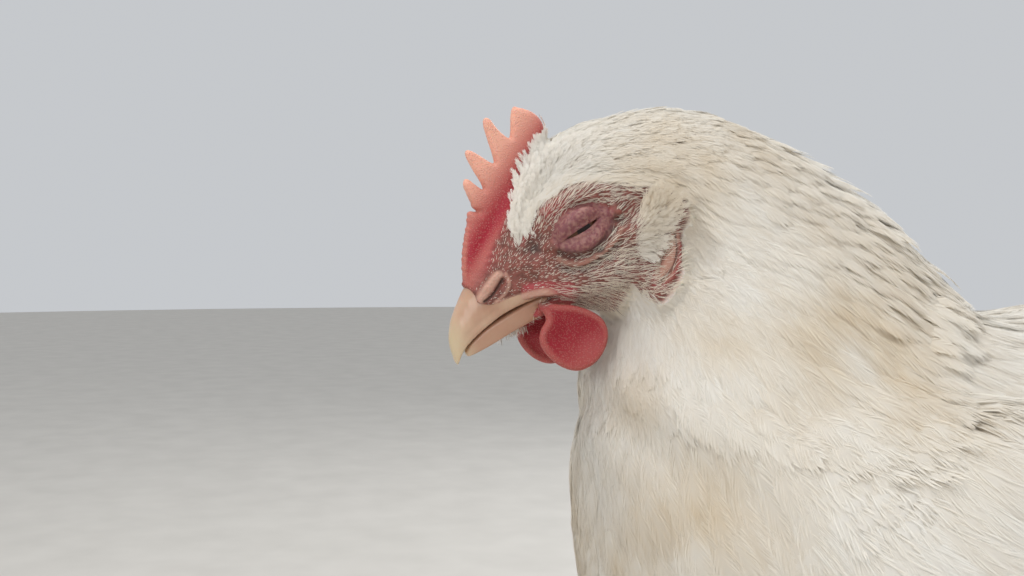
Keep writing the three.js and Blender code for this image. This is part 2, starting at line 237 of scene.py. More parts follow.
def between(first: Sequence[float], last: Sequence[float], share: Array) -> Array:
    """Returns what lies at shares of the way from one row of numbers to another."""
    return (1 - share) * np.array(first) + share * np.array(last)


def pull(gap: Array, soft: float) -> Array:
    """Returns the weight of each of some places, one a column, at points that far from them."""
    weight = 1.0 / (gap + soft) ** 3.5
    return weight / weight.sum(axis=1, keepdims=True)


# ---------------------------------------------------------------- places
class Chart:
    """A table of one number over forward and up, seen from the side of the head."""

    def __init__(
        self, low: Sequence[float], high: Sequence[float], step: float, made: Callable[[Array], Array]
    ) -> None:
        """Works out the number at each place of the table.

        Args:
            low: Its least corner.
            high: Its greatest corner.
            step: Its spacing in millimetres.
            made: Gives the numbers at rows of forward and up.
        """
        self.low, self.step = np.array(low, float), step
        spans = [np.arange(a, b + step, step) for a, b in zip(low, high, strict=True)]
        places = np.stack(np.meshgrid(*spans, indexing="ij"), axis=-1)
        self.table = made(places.reshape(-1, 2)).reshape(places.shape[:2])

    def __call__(self, points: Array) -> Array:
        """Returns the number at rows of forward and up.

        Args:
            points: Rows of forward and up.
        """
        place = np.clip((points - self.low) / self.step, 0, np.array(self.table.shape) - 1.001)
        cell = place.astype(int)
        share = place - cell
        total = np.zeros(len(points))
        for row, column in np.ndindex(2, 2):
            across = share[:, 0] if row else 1 - share[:, 0]
            down = share[:, 1] if column else 1 - share[:, 1]
            total += across * down * self.table[cell[:, 0] + row, cell[:, 1] + column]
        return total


@dataclass(frozen=True)
class HeadAxes:
    """The head's own axes: aside, forward along the bill and up, from between the eyes."""

    back: float  # y of the point between the eyes
    height: float
    pitch: float = math.radians(30)  # how far the bill points below level

    def rows(self) -> Array:
        """Returns the three axes as rows, in the frame."""
        sine, cosine = math.sin(self.pitch), math.cos(self.pitch)
        return np.array([[1.0, 0.0, 0.0], [0.0, -cosine, -sine], [0.0, -sine, cosine]])

    def origin(self) -> Array:
        """Returns the point between the eyes, in the frame."""
        return np.array([0.0, self.back, self.height])

    def out(self, points: Array) -> Array:
        """Returns points of the head in the frame's axes."""
        return self.origin() + np.asarray(points) @ self.rows()

    def into(self, points: Array) -> Array:
        """Returns points of the frame in the head's axes."""
        return (points - self.origin()) @ self.rows().T


@dataclass
class Lens:
    """The spacing of a volume grid: fine round its centre and coarse far from it, in millimetres."""

    centre: Array
    fine: float = 0.34
    fine_reach: float = 20.0
    middle: float = 0.5
    middle_reach: float = 36.0
    growth: float = 0.06
    coarse: float = 3.6

    def __post_init__(self) -> None:
        """Works out how far each true distance from the centre is on the grid."""
        self.true = np.linspace(0.0, 500.0, 5001)
        size = self.spacing(self.true)
        steps = np.diff(self.true) * 0.5 * (1.0 / size[1:] + 1.0 / size[:-1])
        self.stretched = np.concatenate([[0.0], np.cumsum(steps)])

    def spacing(self, distance: Array) -> Array:
        """Returns the grid's spacing along a ray, at each distance from the centre."""
        inner = self.fine + (self.middle - self.fine) * ramp(distance, self.fine_reach, self.middle_reach)
        return np.minimum(inner + self.growth * np.maximum(distance - self.middle_reach, 0.0), self.coarse)

    def stretch(self, points: Array) -> Array:
        """Returns where points lie on the grid."""
        arm = points - self.centre
        reach = np.linalg.norm(arm, axis=-1, keepdims=True)
        return arm * np.interp(reach, self.true, self.stretched) / np.maximum(reach, 1e-9)

    def relax(self, places: Array) -> Array:
        """Returns the points that lie at places on the grid."""
        reach = np.linalg.norm(places, axis=-1, keepdims=True)
        return self.centre + places * np.interp(reach, self.stretched, self.true) / np.maximum(reach, 1e-9)

    def scale(self, places: Array) -> Array:
        """Returns the mean size of a grid step at places on the grid, in millimetres.

        Args:
            places: Places, one a row.
        """
        reach = np.linalg.norm(places, axis=-1)
        true = np.interp(reach, self.stretched, self.true)
        around = np.where(reach > 1.0, true / np.maximum(reach, 1e-6), self.fine)
        return np.cbrt(around * around * self.spacing(true))


def even(centre: Array, step: float) -> Lens:
    """Returns a lens with one spacing all over."""
    return Lens(centre, fine=step, middle=step, growth=0.0, coarse=step)


class Volume:
    """Signed distances on the lens's grid, negative inside, for the half on one side of the middle."""

    BAND = 12.0  # grid steps on either side of a surface that hold a distance
    MARGIN = 22  # grid steps kept past the middle

    def __init__(self, lens: Lens, low: Array, high: Array, margin: int = MARGIN) -> None:
        """Makes an empty grid round a box.

        Args:
            lens: How the grid is stretched.
            low: Its least corner.
            high: Its greatest corner.
            margin: Grid steps kept past the middle.
        """
        self.lens = lens
        ends = (low, high)
        corners = np.array([[x[0], y[1], z[2]] for x in ends for y in ends for z in ends])
        middles = [np.where(np.arange(3) == axis, end, lens.centre) for axis in range(3) for end in ends]
        reach = lens.stretch(np.vstack([corners, *middles]))
        self.low = np.floor(reach.min(0)).astype(int) - 4
        self.low[0] = max(self.low[0], -margin)
        self.size = np.ceil(reach.max(0)).astype(int) + 5 - self.low
        self.values = np.full(self.size, self.BAND, np.float32)

    def window(self, low: Array, high: Array) -> tuple[slice, ...]:
        """Returns the slices of the grid that hold a slanted box, given as points round it.

        Args:
            low: Its least corner.
            high: Its greatest corner.
        """
        reach = self.lens.stretch(np.vstack([low, high]))
        first = np.clip(np.floor(reach.min(0)).astype(int) - 3 - self.low, 0, self.size)
        last = np.clip(np.ceil(reach.max(0)).astype(int) + 4 - self.low, 0, self.size)
        return tuple(slice(int(a), int(b)) for a, b in zip(first, last, strict=True))

    def points(self, window: tuple[slice, ...]) -> Array:
        """Returns the points of the frame at the grid points of a window."""
        axes = [np.arange(part.start, part.stop) + low for part, low in zip(window, self.low, strict=True)]
        return self.lens.relax(np.stack(np.meshgrid(*axes, indexing="ij"), axis=-1).astype(float))

    @property
    def full(self) -> tuple[slice, ...]:
        """The window that holds the whole grid."""
        return tuple(slice(0, int(n)) for n in self.size)

    def distances(self, points: Array, triangles: Array | None = None, quads: Array | None = None) -> Array:
        """Returns the distances of a closed mesh whose points lie on the grid, in grid steps.

        Args:
            points: Its corners, in grid steps.
            triangles: Triangles, one a row.
            quads: Quads, one a row.
        """
        faces = {}
        if triangles is not None:
            faces["triangles"] = np.ascontiguousarray(triangles, np.uint32)
        if quads is not None:
            faces["quads"] = np.ascontiguousarray(quads, np.uint32)
        grid = openvdb.FloatGrid.createLevelSetFromPolygons(
            np.ascontiguousarray(points, np.float32), halfWidth=self.BAND, **faces
        )
        found = np.empty(self.size, np.float32)
        grid.copyToArray(found, ijk=tuple(int(i) for i in self.low))
        return found

    def node(self, name: str, splits: int) -> Array:
        """Returns the distances of a solid of the frame, its triangles split finer first.

        Args:
            name: Its name.
            splits: How often its triangles are split.
        """
        mesh = bpy.data.objects[name].data
        mesh.calc_loop_triangles()
        places = np.array([vertex.co for vertex in mesh.vertices]) / MM
        soup = places[np.array([triangle.vertices for triangle in mesh.loop_triangles])]
        for _ in range(splits):
            a, b, c = soup[:, 0], soup[:, 1], soup[:, 2]
            ab, bc, ca = (a + b) / 2, (b + c) / 2, (c + a) / 2
            parts = [(a, ab, ca), (ab, b, bc), (ca, bc, c), (ab, bc, ca)]
            soup = np.concatenate([np.stack(part, axis=1) for part in parts])
        corners = self.lens.stretch(soup.reshape(-1, 3))
        return self.distances(corners, triangles=np.arange(len(corners)).reshape(-1, 3))

    def surface(self, values: Array, level: float, start: Array) -> tuple[Array, Array]:
        """Returns the places on the grid and the quads of the surface at a level."""
        grid = openvdb.FloatGrid(float(values.max()))
        grid.copyFromArray(np.ascontiguousarray(values), ijk=tuple(int(i) for i in start))
        return grid.convertToQuads(isovalue=level)

    def skinned(self, both: bool) -> tuple[Array, Array]:
        """Returns the surface's points in millimetres and its quads, with or without the mirror image.

        Args:
            both: Whether the mirror image is made too.
        """
        values, start = self.values, self.low
        if both:
            middle = -int(self.low[0])
            values = np.concatenate([self.values[: middle : -1], self.values[middle:]])
            start = np.array([middle + 1 - int(self.size[0]), self.low[1], self.low[2]])
        places, quads = self.surface(values, 0.0, start)
        return self.lens.relax(places.astype(float)), quads

    def closed(self, values: Array, gap: float) -> Array:
        """Returns the distances with gaps narrower than twice a number of steps filled in.

        Args:
            values: Numbers on the grid.
            gap: Half of the widest gap, in grid steps.
        """
        capped = values.copy()
        capped[:2] = self.BAND
        places, quads = self.surface(capped, gap, self.low)
        return self.distances(places, quads=quads) + np.float32(gap)

    def read(self, points: Array, values: Array | None = None) -> Array:
        """Returns the distance at any points of the frame, between grid points by their mean.

        Args:
            points: Places in the frame.
            values: Other numbers on the grid, to read instead of the distances.
        """
        values = self.values if values is None else values
        place = self.lens.stretch(folded(points)) - self.low
        place = np.clip(place, 0.0, np.array(self.size) - 1.001)
        cell = np.floor(place).astype(int)
        share = place - cell
        total = np.zeros(len(points))
        for corner in np.ndindex(2, 2, 2):
            weight = np.prod(np.where(np.array(corner) == 1, share, 1.0 - share), axis=1)
            at = cell + np.array(corner)
            total += weight * values[at[:, 0], at[:, 1], at[:, 2]]
        return total

    def outward(self, points: Array) -> Array:
        """Returns the direction away from the surface at points of the frame.

        Args:
            points: Places in the frame, in millimetres, one a row.
        """
        arm = np.linalg.norm(points - self.lens.centre, axis=1)
        step = self.lens.spacing(arm)[:, None] * 0.8
        slope = [self.read(points + step * way) - self.read(points - step * way) for way in np.eye(3)]
        return unit(np.stack(slope, axis=1))

    def onto(self, points: Array, rounds: int = 4) -> Array:
        """Returns points of the frame moved onto the surface."""
        for _ in range(rounds):
            points = points - self.outward(points) * self.read(points)[:, None]
        return points


def blurred(values: Array, width: int) -> Array:
    """Returns a grid of numbers with a soft blur, two sliding means of an odd width in grid steps.

    Args:
        values: Numbers on the grid.
        width: How wide, in grid steps.
    """
    reach = width // 2
    for axis in (0, 1, 2, 0, 1, 2):
        padding = [(reach + 1, reach) if i == axis else (0, 0) for i in range(3)]
        total = np.cumsum(np.pad(values, padding, mode="edge"), axis=axis, dtype=np.float32)
        ends = [slice(None)] * 3
        starts = [slice(None)] * 3
        ends[axis] = slice(width, None)
        starts[axis] = slice(0, -width)
        values = (total[tuple(ends)] - total[tuple(starts)]) / np.float32(width)
    return values


# ---------------------------------------------------------------- meshes and materials
def mesh_object(name: str, points: Array, faces: Sequence[Array], smooth: bool = True) -> bpy.types.Object:
    """Makes a mesh object.

    Args:
        name: The piece's name.
        points: Its vertices in millimetres, one a row.
        faces: Arrays of faces, each with one number of corners a face.
        smooth: Whether its faces are shaded smooth.

    Returns:
        The object, linked to the scene.
    """
    mesh = bpy.data.meshes.new(name)
    points = np.column_stack([points[:, :2], np.maximum(points[:, 2], 0.0)])
    corners = np.concatenate([part.ravel() for part in faces]).astype(np.int32)
    counts = np.concatenate([np.full(len(part), part.shape[1]) for part in faces])
    mesh.vertices.add(len(points))
    mesh.vertices.foreach_set("co", (points * MM).astype(np.float32).ravel())
    mesh.loops.add(len(corners))
    mesh.loops.foreach_set("vertex_index", corners)
    mesh.polygons.add(len(counts))
    starts = np.concatenate([[0], np.cumsum(counts)[:-1]]).astype(np.int32)
    mesh.polygons.foreach_set("loop_start", starts)
    mesh.polygons.foreach_set("use_smooth", np.full(len(counts), smooth))
    mesh.update(calc_edges=True)
    mesh.validate()
    piece = bpy.data.objects.new(name, mesh)
    bpy.context.scene.collection.objects.link(piece)
    return piece


def mark(piece: bpy.types.Object, name: str, values: Array) -> None:
    """Stores one number for each vertex of a piece, for its material to read."""
    attribute = piece.data.attributes.new(name, "FLOAT", "POINT")
    attribute.data.foreach_set("value", np.asarray(values, np.float32))


def linear(code: str, alpha: float = 1.0) -> tuple[float, float, float, float]:
    """Returns the linear colour of an sRGB hex value such as D9B79A."""
    parts = [int(code[i : i + 2], 16) / 255 for i in (0, 2, 4)]
    red, green, blue = (p / 12.92 if p <= 0.04045 else ((p + 0.055) / 1.055) ** 2.4 for p in parts)
    return red, green, blue, alpha


class Nodes:
    """The node tree of one material."""

    def __init__(self, name: str) -> None:
        """Starts a material with its shader and its output.

        Args:
            name: The material's name.
        """
        self.material = bpy.data.materials.new(name)
        self.material.use_nodes = True
        self.tree = self.material.node_tree
        self.tree.nodes.clear()
        self.shader = self.add("ShaderNodeBsdfPrincipled")
        self.output = self.add("ShaderNodeOutputMaterial", Surface=self.shader.outputs[0])

    def add(self, kind: str, settings: dict[str, object] | None = None, **inputs: object) -> bpy.types.Node:
        """Adds a node.

        Args:
            kind: Blender's name for the kind of node.
            settings: Properties to set on it.
            **inputs: A value, or another node's output, for each input by its name.

        Returns:
            The new node.
        """
        node = self.tree.nodes.new(kind)
        for key, value in (settings or {}).items():
            setattr(node, key, value)
        for key, value in inputs.items():
            numbered = key[0] == "i" and key[1:].isdigit()
            place = node.inputs[int(key[1:]) if numbered else key.replace("_", " ")]
            if isinstance(value, bpy.types.NodeSocket):
                self.tree.links.new(value, place)
            else:
                place.default_value = value
        return node


def painted(nodes: Nodes, base: object, *coats: tuple[object, float, object]) -> Socket:
    """Returns a colour with others laid over it, each a hex value or a node's output.

    Args:
        nodes: The material's nodes.
        base: The lowest colour.
        *coats: Where each colour lies, how much it covers there, and the colour. Where it lies is
            the name of a mark on the mesh, an output or a number.
    """
    tint = base
    for cover, most, color in coats:
        if isinstance(cover, str):
            cover = nodes.add("ShaderNodeAttribute", {"attribute_name": cover}).outputs["Fac"]
        if most != 1.0:
            settings = {"operation": "MULTIPLY", "use_clamp": True}
            cover = nodes.add("ShaderNodeMath", settings, i0=cover, i1=most).outputs[0]
        under, over = (linear(paint) if isinstance(paint, str) else paint for paint in (tint, color))
        tint = nodes.add("ShaderNodeMix", {"data_type": "RGBA"}, i0=cover, i6=under, i7=over).outputs[2]
    return tint


def speckle(nodes: Nodes, size: float, low: float, high: float, detail: float = 2.0) -> Socket:
    """Returns noise with lumps of a size in millimetres, spread from 0 at low to 1 at high."""
    place = nodes.add("ShaderNodeTexCoord").outputs["Object"]
    noise = nodes.add("ShaderNodeTexNoise", Vector=place, Scale=1.0 / (size * MM), Detail=detail)
    return nodes.add("ShaderNodeMapRange", i0=noise.outputs["Fac"], i1=low, i2=high).outputs[0]


# ---------------------------------------------------------------- skin
class Relief(Enum):
    """Whether a fold stands up from the skin or is sunk in it."""

    RAISED = 1
    SUNK = -1


@dataclass(frozen=True)
class Fold:
    """A ridge or groove along a line over the side of the head.

    Each row of the path is forward, up, lift over the side and radius, in the head's axes.
    """

    path: Path
    blend: float
    relief: Relief = Relief.RAISED

    def tube(self, side: Callable[[Array], Array]) -> tuple[Array, Array]:
        """Returns the smooth line in the head's axes, and its radius at each corner.

        Args:
            side: Gives how far aside the head's side lies at rows of forward and up.
        """
        count = len(self.path)
        rows = along(self.path, 3 * count - 2) if count > 2 else np.array(self.path, float)
        if len(rows) == 1:
            rows = np.vstack([rows, rows + [[1e-3, 0, 0, 0]]])
        aside = side(rows[:, :2]) + rows[:, 2]
        return np.column_stack([aside, rows[:, :2]]), rows[:, 3]


def groove(*path: Sequence[float], blend: float = 0.5) -> Fold:
    """Returns a groove along a line."""
    return Fold(path, blend, Relief.SUNK)


def ridge(*path: Sequence[float], blend: float = 0.8) -> Fold:
    """Returns a ridge along a line."""
    return Fold(path, blend)


@dataclass(frozen=True)
class Face:
    """The bare face: its outlines and folds, in the head's axes, for one side."""

    # Where the bare skin ends, seen from the side: comb, brow, ear, jaw and bill
    bare: Path = (
        (29, 1.5), (31, 6), (25, 19), (18, 28), (12, 34), (4, 39), (-5, 38), (-11, 33), (-10.5, 27),
        (-9.2, 23.0), (-6.8, 21.4), (-3.2, 19.6), (2.3, 16.5), (6.8, 13.7), (9.6, 11.3), (12.0, 8.1),
        (13.8, 5.3), (15.2, 2.6), (11.8, 4.7), (7.5, 7.7), (3.1, 9.5), (-2.7, 10.1), (-7, 8.2),
        (-10.9, 5.4), (-14.8, 3.4), (-17.8, 1.4), (-21.0, -1.2), (-23.4, -6.2), (-22.0, -9.8),
        (-19.4, -12.0), (-18.1, -15.4), (-15.0, -18.8), (-11.6, -21.3), (-9.4, -22.6), (-7.4, -23.6),
        (-6.0, -22.0), (-6.2, -18.6), (-4.6, -17), (-2.2, -19.8), (0.3, -22.6), (4.2, -21.5), (6.4, -19.9),
        (13.9, -17), (24, -16), (36, -14),
    )  # fmt: skip
    comb: Path = (
        (28.8, 1.2), (27.8, 4.1), (26.7, 6.2), (25.2, 8.5), (23.6, 10.6), (22.2, 12.3), (20.9, 13.7),
        (20.2, 14.9), (19.2, 16.1), (18.2, 15.6), (17.0, 14.8), (17.6, 16.4), (17.4, 18.2), (17.2, 20.8),
        (16.9, 22.5), (15.9, 23.5), (15.1, 22.8), (14.3, 20.9), (13.2, 18.9), (12.7, 20.6), (12.9, 24.6),
        (12.8, 28.4), (12.1, 29.4), (11.1, 28.8), (9.8, 26.8), (7.6, 23.2), (6.6, 25.4), (5.9, 29),
        (5, 32.8), (4, 34.1), (3, 33.3), (2.4, 30), (1, 26.8), (-0.4, 28.1), (-2.3, 31.3), (-3.9, 33),
        (-4.9, 32.3), (-6, 31.4), (-7.6, 29.6), (-8.5, 27.2), (-8.2, 24.6), (-6.6, 22), (-4.5, 18),
        (0, 13), (8, 9), (16, 5), (22, -1), (27, -2),
    )  # fmt: skip
    cere: Path = (
        (29, 2.0), (28.9, -1.7), (29.4, -3.8), (27.2, -5.6), (24, -6.7), (20, -7.6), (16, -8.6),
        (13.5, -10.4), (11, -13.5),
    )  # fmt: skip
    upper_lid: Path = (
        (13.2, 6.0, 0.4, 1.0), (14.2, 4.2, 2.2, 1.6), (14.9, 1.2, 3.1, 1.95),
        (15.0, -2.2, 3.1, 1.95), (14.2, -4.9, 2.0, 1.6), (12.9, -6.9, 0.3, 1.0),
    )  # fmt: skip
    lower_lid: Path = (
        (13.2, 6.0, -1.5, 1.1), (14.3, 3.7, -2.7, 1.6), (15.0, 0.4, -3.2, 1.85),
        (14.7, -3.1, -2.7, 1.7), (13.3, -6.3, -1.2, 1.1),
    )  # fmt: skip
    folds: dict[str, Fold] = field(
        default_factory=lambda: {
            "lore": groove((12.5, 1.5, 2.4, 3.2), (9.5, 2.8, 2.2, 2.6), blend=2.0),
            "temple": groove((-8, -2, 2.6, 3.0), (-12.5, -1.5, 2.9, 3.2), blend=2.0),
            "brow": ridge(
                (4.6, 7.0, -1.1, 1.9), (0.9, 7.6, -1.1, 2.2), (-2.6, 7.4, -1.1, 2.2),
                (-6.7, 6.5, -1.0, 2.0), (-10.5, 4.5, -1.0, 1.7), blend=1.5,
            ),
            "crease": groove(
                (6.6, 0.6, 0.2, 0.7), (5.3, 3.0, 0.4, 0.8), (2.7, 4.9, 0.5, 0.9), (-0.8, 5.3, 0.5, 0.9),
                (-4.3, 4.7, 0.4, 0.9), (-6.7, 3.1, 0.3, 0.8), (-8.0, 0.8, 0.1, 0.6), blend=0.7,
            ),
            "under_lid": groove(
                (6.9, -2.4, 0.3, 0.6), (5.2, -4.2, 0.5, 0.8), (3.0, -5.3, 0.6, 0.9),
                (0.2, -5.7, 0.6, 0.9), (-3.6, -5.0, 0.5, 0.9), (-6.6, -3.3, 0.3, 0.7),
                (-8.4, -1.6, 0.2, 0.6), blend=0.6,
            ),
            "second_fold": ridge(
                (7.9, -3.6, -0.5, 0.8), (6.5, -5.6, -0.4, 1.05), (4.5, -6.9, -0.3, 1.15),
                (1.9, -7.5, -0.3, 1.2), (-0.9, -7.4, -0.3, 1.15), (-3.6, -6.9, -0.35, 1.05),
                (-6, -5.9, -0.4, 0.95), (-8.2, -4.3, -0.5, 0.7), blend=0.7,
            ),
            "under_fold": groove(
                (8.8, -5.4, 0.3, 0.6), (6.8, -7.6, 0.3, 0.8), (3.6, -9.0, 0.3, 0.8), (0, -9.2, 0.3, 0.8),
                (-3.4, -8.6, 0.35, 0.7), (-6.6, -7.4, 0.4, 0.6), blend=0.7,
            ),
            "front_corner": ridge((7.3, -0.7, -0.5, 1.2), (8.6, -0.2, -0.7, 1.1), blend=0.9),
            "rear_corner": ridge((-8.0, -0.1, -0.5, 1.2), (-9.6, -0.5, -0.7, 1.1), blend=0.9),
            "cheekbone": ridge(
                (10, -7.5, -2.3, 3.2), (4, -12, -2.3, 3.4), (-4, -13.5, -2.4, 3.4), blend=2.5,
            ),
            "red_strip": ridge(
                (17.5, -6.8, -0.6, 0.9), (14.4, -8.0, -0.4, 1.3), (11.8, -9.6, -0.3, 1.4),
                (9.4, -11.0, -0.2, 1.35), (8.6, -12.4, -0.3, 1.1), blend=0.8,
            ),
            "lip": ridge(
                (25.4, -6.1, -0.6, 0.9), (22.3, -7.2, -0.25, 1.0), (18.6, -8.0, 0.0, 1.05),
                (15.4, -8.9, 0.35, 1.15), (13.0, -10.0, 0.6, 1.2), (10.8, -11.2, 0.8, 1.35),
                (9.0, -12.2, 0.7, 1.3), blend=0.4,
            ),
            "mouth": groove(
                (27, -9.8, 0.4, 0.3), (23.2, -9.3, 0.3, 0.45), (17.7, -9.9, 0.3, 0.55),
                (15, -10.9, 0.3, 0.5), (13.4, -11.9, 0.3, 0.35), blend=0.35,
            ),
            "jaw_fold": ridge(
                (19.5, -13.0, -0.7, 1.1), (17.0, -13.6, -0.5, 1.2), (13.5, -14.6, -0.6, 1.2),
                (9.5, -15.4, -0.7, 1.2), blend=1.0,
            ),
            "operculum": ridge(
                (28.4, -3.2, -0.5, 0.9), (26.6, -2.1, -0.45, 1.35), (24.3, -1.2, -0.45, 1.4),
                (21.9, -0.4, -0.5, 1.0), blend=0.45,
            ),
            "nostril": groove(
                (21.4, -1.7, -0.2, 0.68), (22.6, -2.4, -0.15, 0.62), (24.4, -3.3, -0.1, 0.45),
                (26.2, -3.9, -0.05, 0.34), (28.0, -4.1, 0, 0.28), blend=0.25,
            ),
            "nostril_rim": ridge(
                (20.2, -0.8, -0.6, 0.7), (20.6, -3.0, -0.5, 0.7), (22.4, -4.7, -0.5, 0.7),
                (25.0, -5.6, -0.5, 0.5), blend=0.6,
            ),
            "wrinkle_a": groove(
                (22.9, 5.9, 0.05, 0.32), (20, 5.5, 0.05, 0.4), (17.0, 4.9, 0.1, 0.3), blend=0.4,
            ),
            "wrinkle_b": groove(
                (24.6, 4.4, 0.05, 0.3), (21.7, 4.2, 0.05, 0.4), (18.6, 3.3, 0.1, 0.3), blend=0.4,
            ),
            "wrinkle_c": groove(
                (24.6, 2.9, 0.1, 0.3), (22.5, 2.8, 0.05, 0.38), (19.2, 1.6, 0.1, 0.3), blend=0.4,
            ),
            "wrinkle_d": groove(
                (27.0, 2.9, 0.05, 0.3), (25.6, 4.6, 0.05, 0.36), (22.8, 7.2, 0.1, 0.3), blend=0.4,
            ),
            "wrinkle_e": groove(
                (18.6, 7.4, 0.1, 0.3), (16.2, 7.6, 0.05, 0.4), (13.8, 7.4, 0.1, 0.3), blend=0.4,
            ),
            "lobe_pad": ridge(
                (-17.9, -12.4, -1.2, 1.2), (-16.2, -14.6, -1.0, 1.5), (-13.4, -16.6, -1.0, 1.6),
                (-10.6, -18.9, -1.1, 1.3), blend=0.8,
            ),
            "lobe_rim": ridge(
                (-18.9, -11.4, -0.3, 0.6), (-18.2, -14.8, -0.05, 0.7), (-16.6, -17.2, 0.05, 0.7),
                (-14.0, -19.0, 0.05, 0.7), (-11.6, -20.3, 0, 0.65), (-9.0, -21.3, -0.2, 0.5), blend=0.35,
            ),
            "lobe_line": groove(
                (-18.4, -11.8, 0.1, 0.3), (-17.4, -14.6, 0.25, 0.4), (-15.7, -16.6, 0.25, 0.42),
                (-13.3, -18.3, 0.25, 0.4), (-11.1, -19.4, 0.2, 0.38), (-8.9, -20.4, 0.1, 0.3),
                blend=0.25,
            ),
            "lobe_strip": ridge(
                (-15.4, -20.4, -0.2, 0.5), (-12.4, -22.4, 0, 0.7), (-9.7, -24.0, 0, 0.7),
                (-7.2, -25.2, -0.3, 0.5), blend=0.4,
            ),
            "lobe_front": groove(
                (-15.3, -13.0, 0.3, 0.4), (-11.6, -15.4, 0.4, 0.5), (-9.6, -18.6, 0.4, 0.5),
                (-8.2, -21, 0.4, 0.4), blend=0.7,
            ),
        }
    )


@dataclass(frozen=True)
class Wattle:
    """A thin dished lobe with a thick rim, below the gape. Rows are aside, forward and up."""

    rim: Path = (
        (8.2, 16.6, -11.9), (8.7, 16.2, -14.0), (9.0, 17.0, -16.2), (9.2, 19.4, -17.6), (9.3, 20.9, -19.8),
        (9.4, 20.7, -23.4), (9.6, 19.2, -27.0), (9.8, 16.4, -29.7), (10.0, 12.5, -30.2),
        (10.3, 8.9, -28.7), (10.5, 6.4, -25.9), (10.6, 6.0, -22.6), (10.4, 7.6, -19.4), (9.8, 10.4, -16.4),
        (9.0, 13.6, -14.2),
    )  # fmt: skip
    rim_radius: float = 0.85
    web: float = 0.75  # half thickness
    dish: float = 1.5  # how far the middle lies inwards
    blend: float = 1.0


@dataclass(frozen=True)
class Coat:
    """How deep the skin lies under the tips of the feathers."""

    face: float = 0.15
    crown: float = 2.0
    body: float = 8.0
    crown_reach: float = 26.0
    body_reach: float = 95.0
    wing: float = 4.0
    swells: Path = (  # aside, forward, up, how far round, and how much higher the skin lies there
        (0, 20, 315, 15, 3.7), (0, 34, 322, 8, 1.4), (0, 45, 329, 13, 2.0), (0, 66, 336, 13, 1.0),
        (0, 88, 336, 12, 0.9), (0, -12, 289, 9, -8.0), (0, 106, 327, 8, 2.4), (6, 104, 256, 13, 2.2),
        (34, 88, 240, 16, 2.0), (56, 66, 240, 12, 2.0),
    )  # fmt: skip
    crease: Path = (  # the line where the neck's cape ends
        (20, 107, 273), (36, 98, 267), (44, 92, 264), (55, 80, 259), (64, 67.5, 256), (70, 53, 254),
        (64, 40, 261), (52, 26, 277), (36, 14, 290),
    )  # fmt: skip
    crease_depth: float = 0.6
    crease_width: float = 7.5

    def depth(self, points: Array, axes: HeadAxes) -> Array:
        """Returns the coat's depth over feathered skin at points of the frame."""
        reach = np.linalg.norm(points - axes.origin(), axis=-1)
        deep = self.crown + (self.body - self.crown) * ramp(reach, self.crown_reach, self.body_reach)
        return deep * (0.3 + 0.7 * ramp(points[..., 2], 92, 135))

    def rise(self, points: Array) -> Array:
        """Returns how much higher the skin lies at points of the frame, round swells and creases.

        Args:
            points: Places in the frame, in millimetres, one a row.
        """
        aside = folded(points) * [1, -1, 1] + [0, MIDDLE, 0]
        total = np.zeros(len(points))
        for *place, reach, height in self.swells:
            gap = np.linalg.norm((aside - place) * [0.6, 1, 1], axis=1)
            total += height * np.exp(-((gap / reach) ** 2))
        near = (aside > [8, 0, 230]).all(axis=1) & (aside[:, 1] < 122) & (aside[:, 2] < 305)
        gap = near_path(aside[near], np.array(self.crease, float))[0]
        total[near] -= self.crease_depth * np.exp(-((gap / self.crease_width) ** 2))
        return total


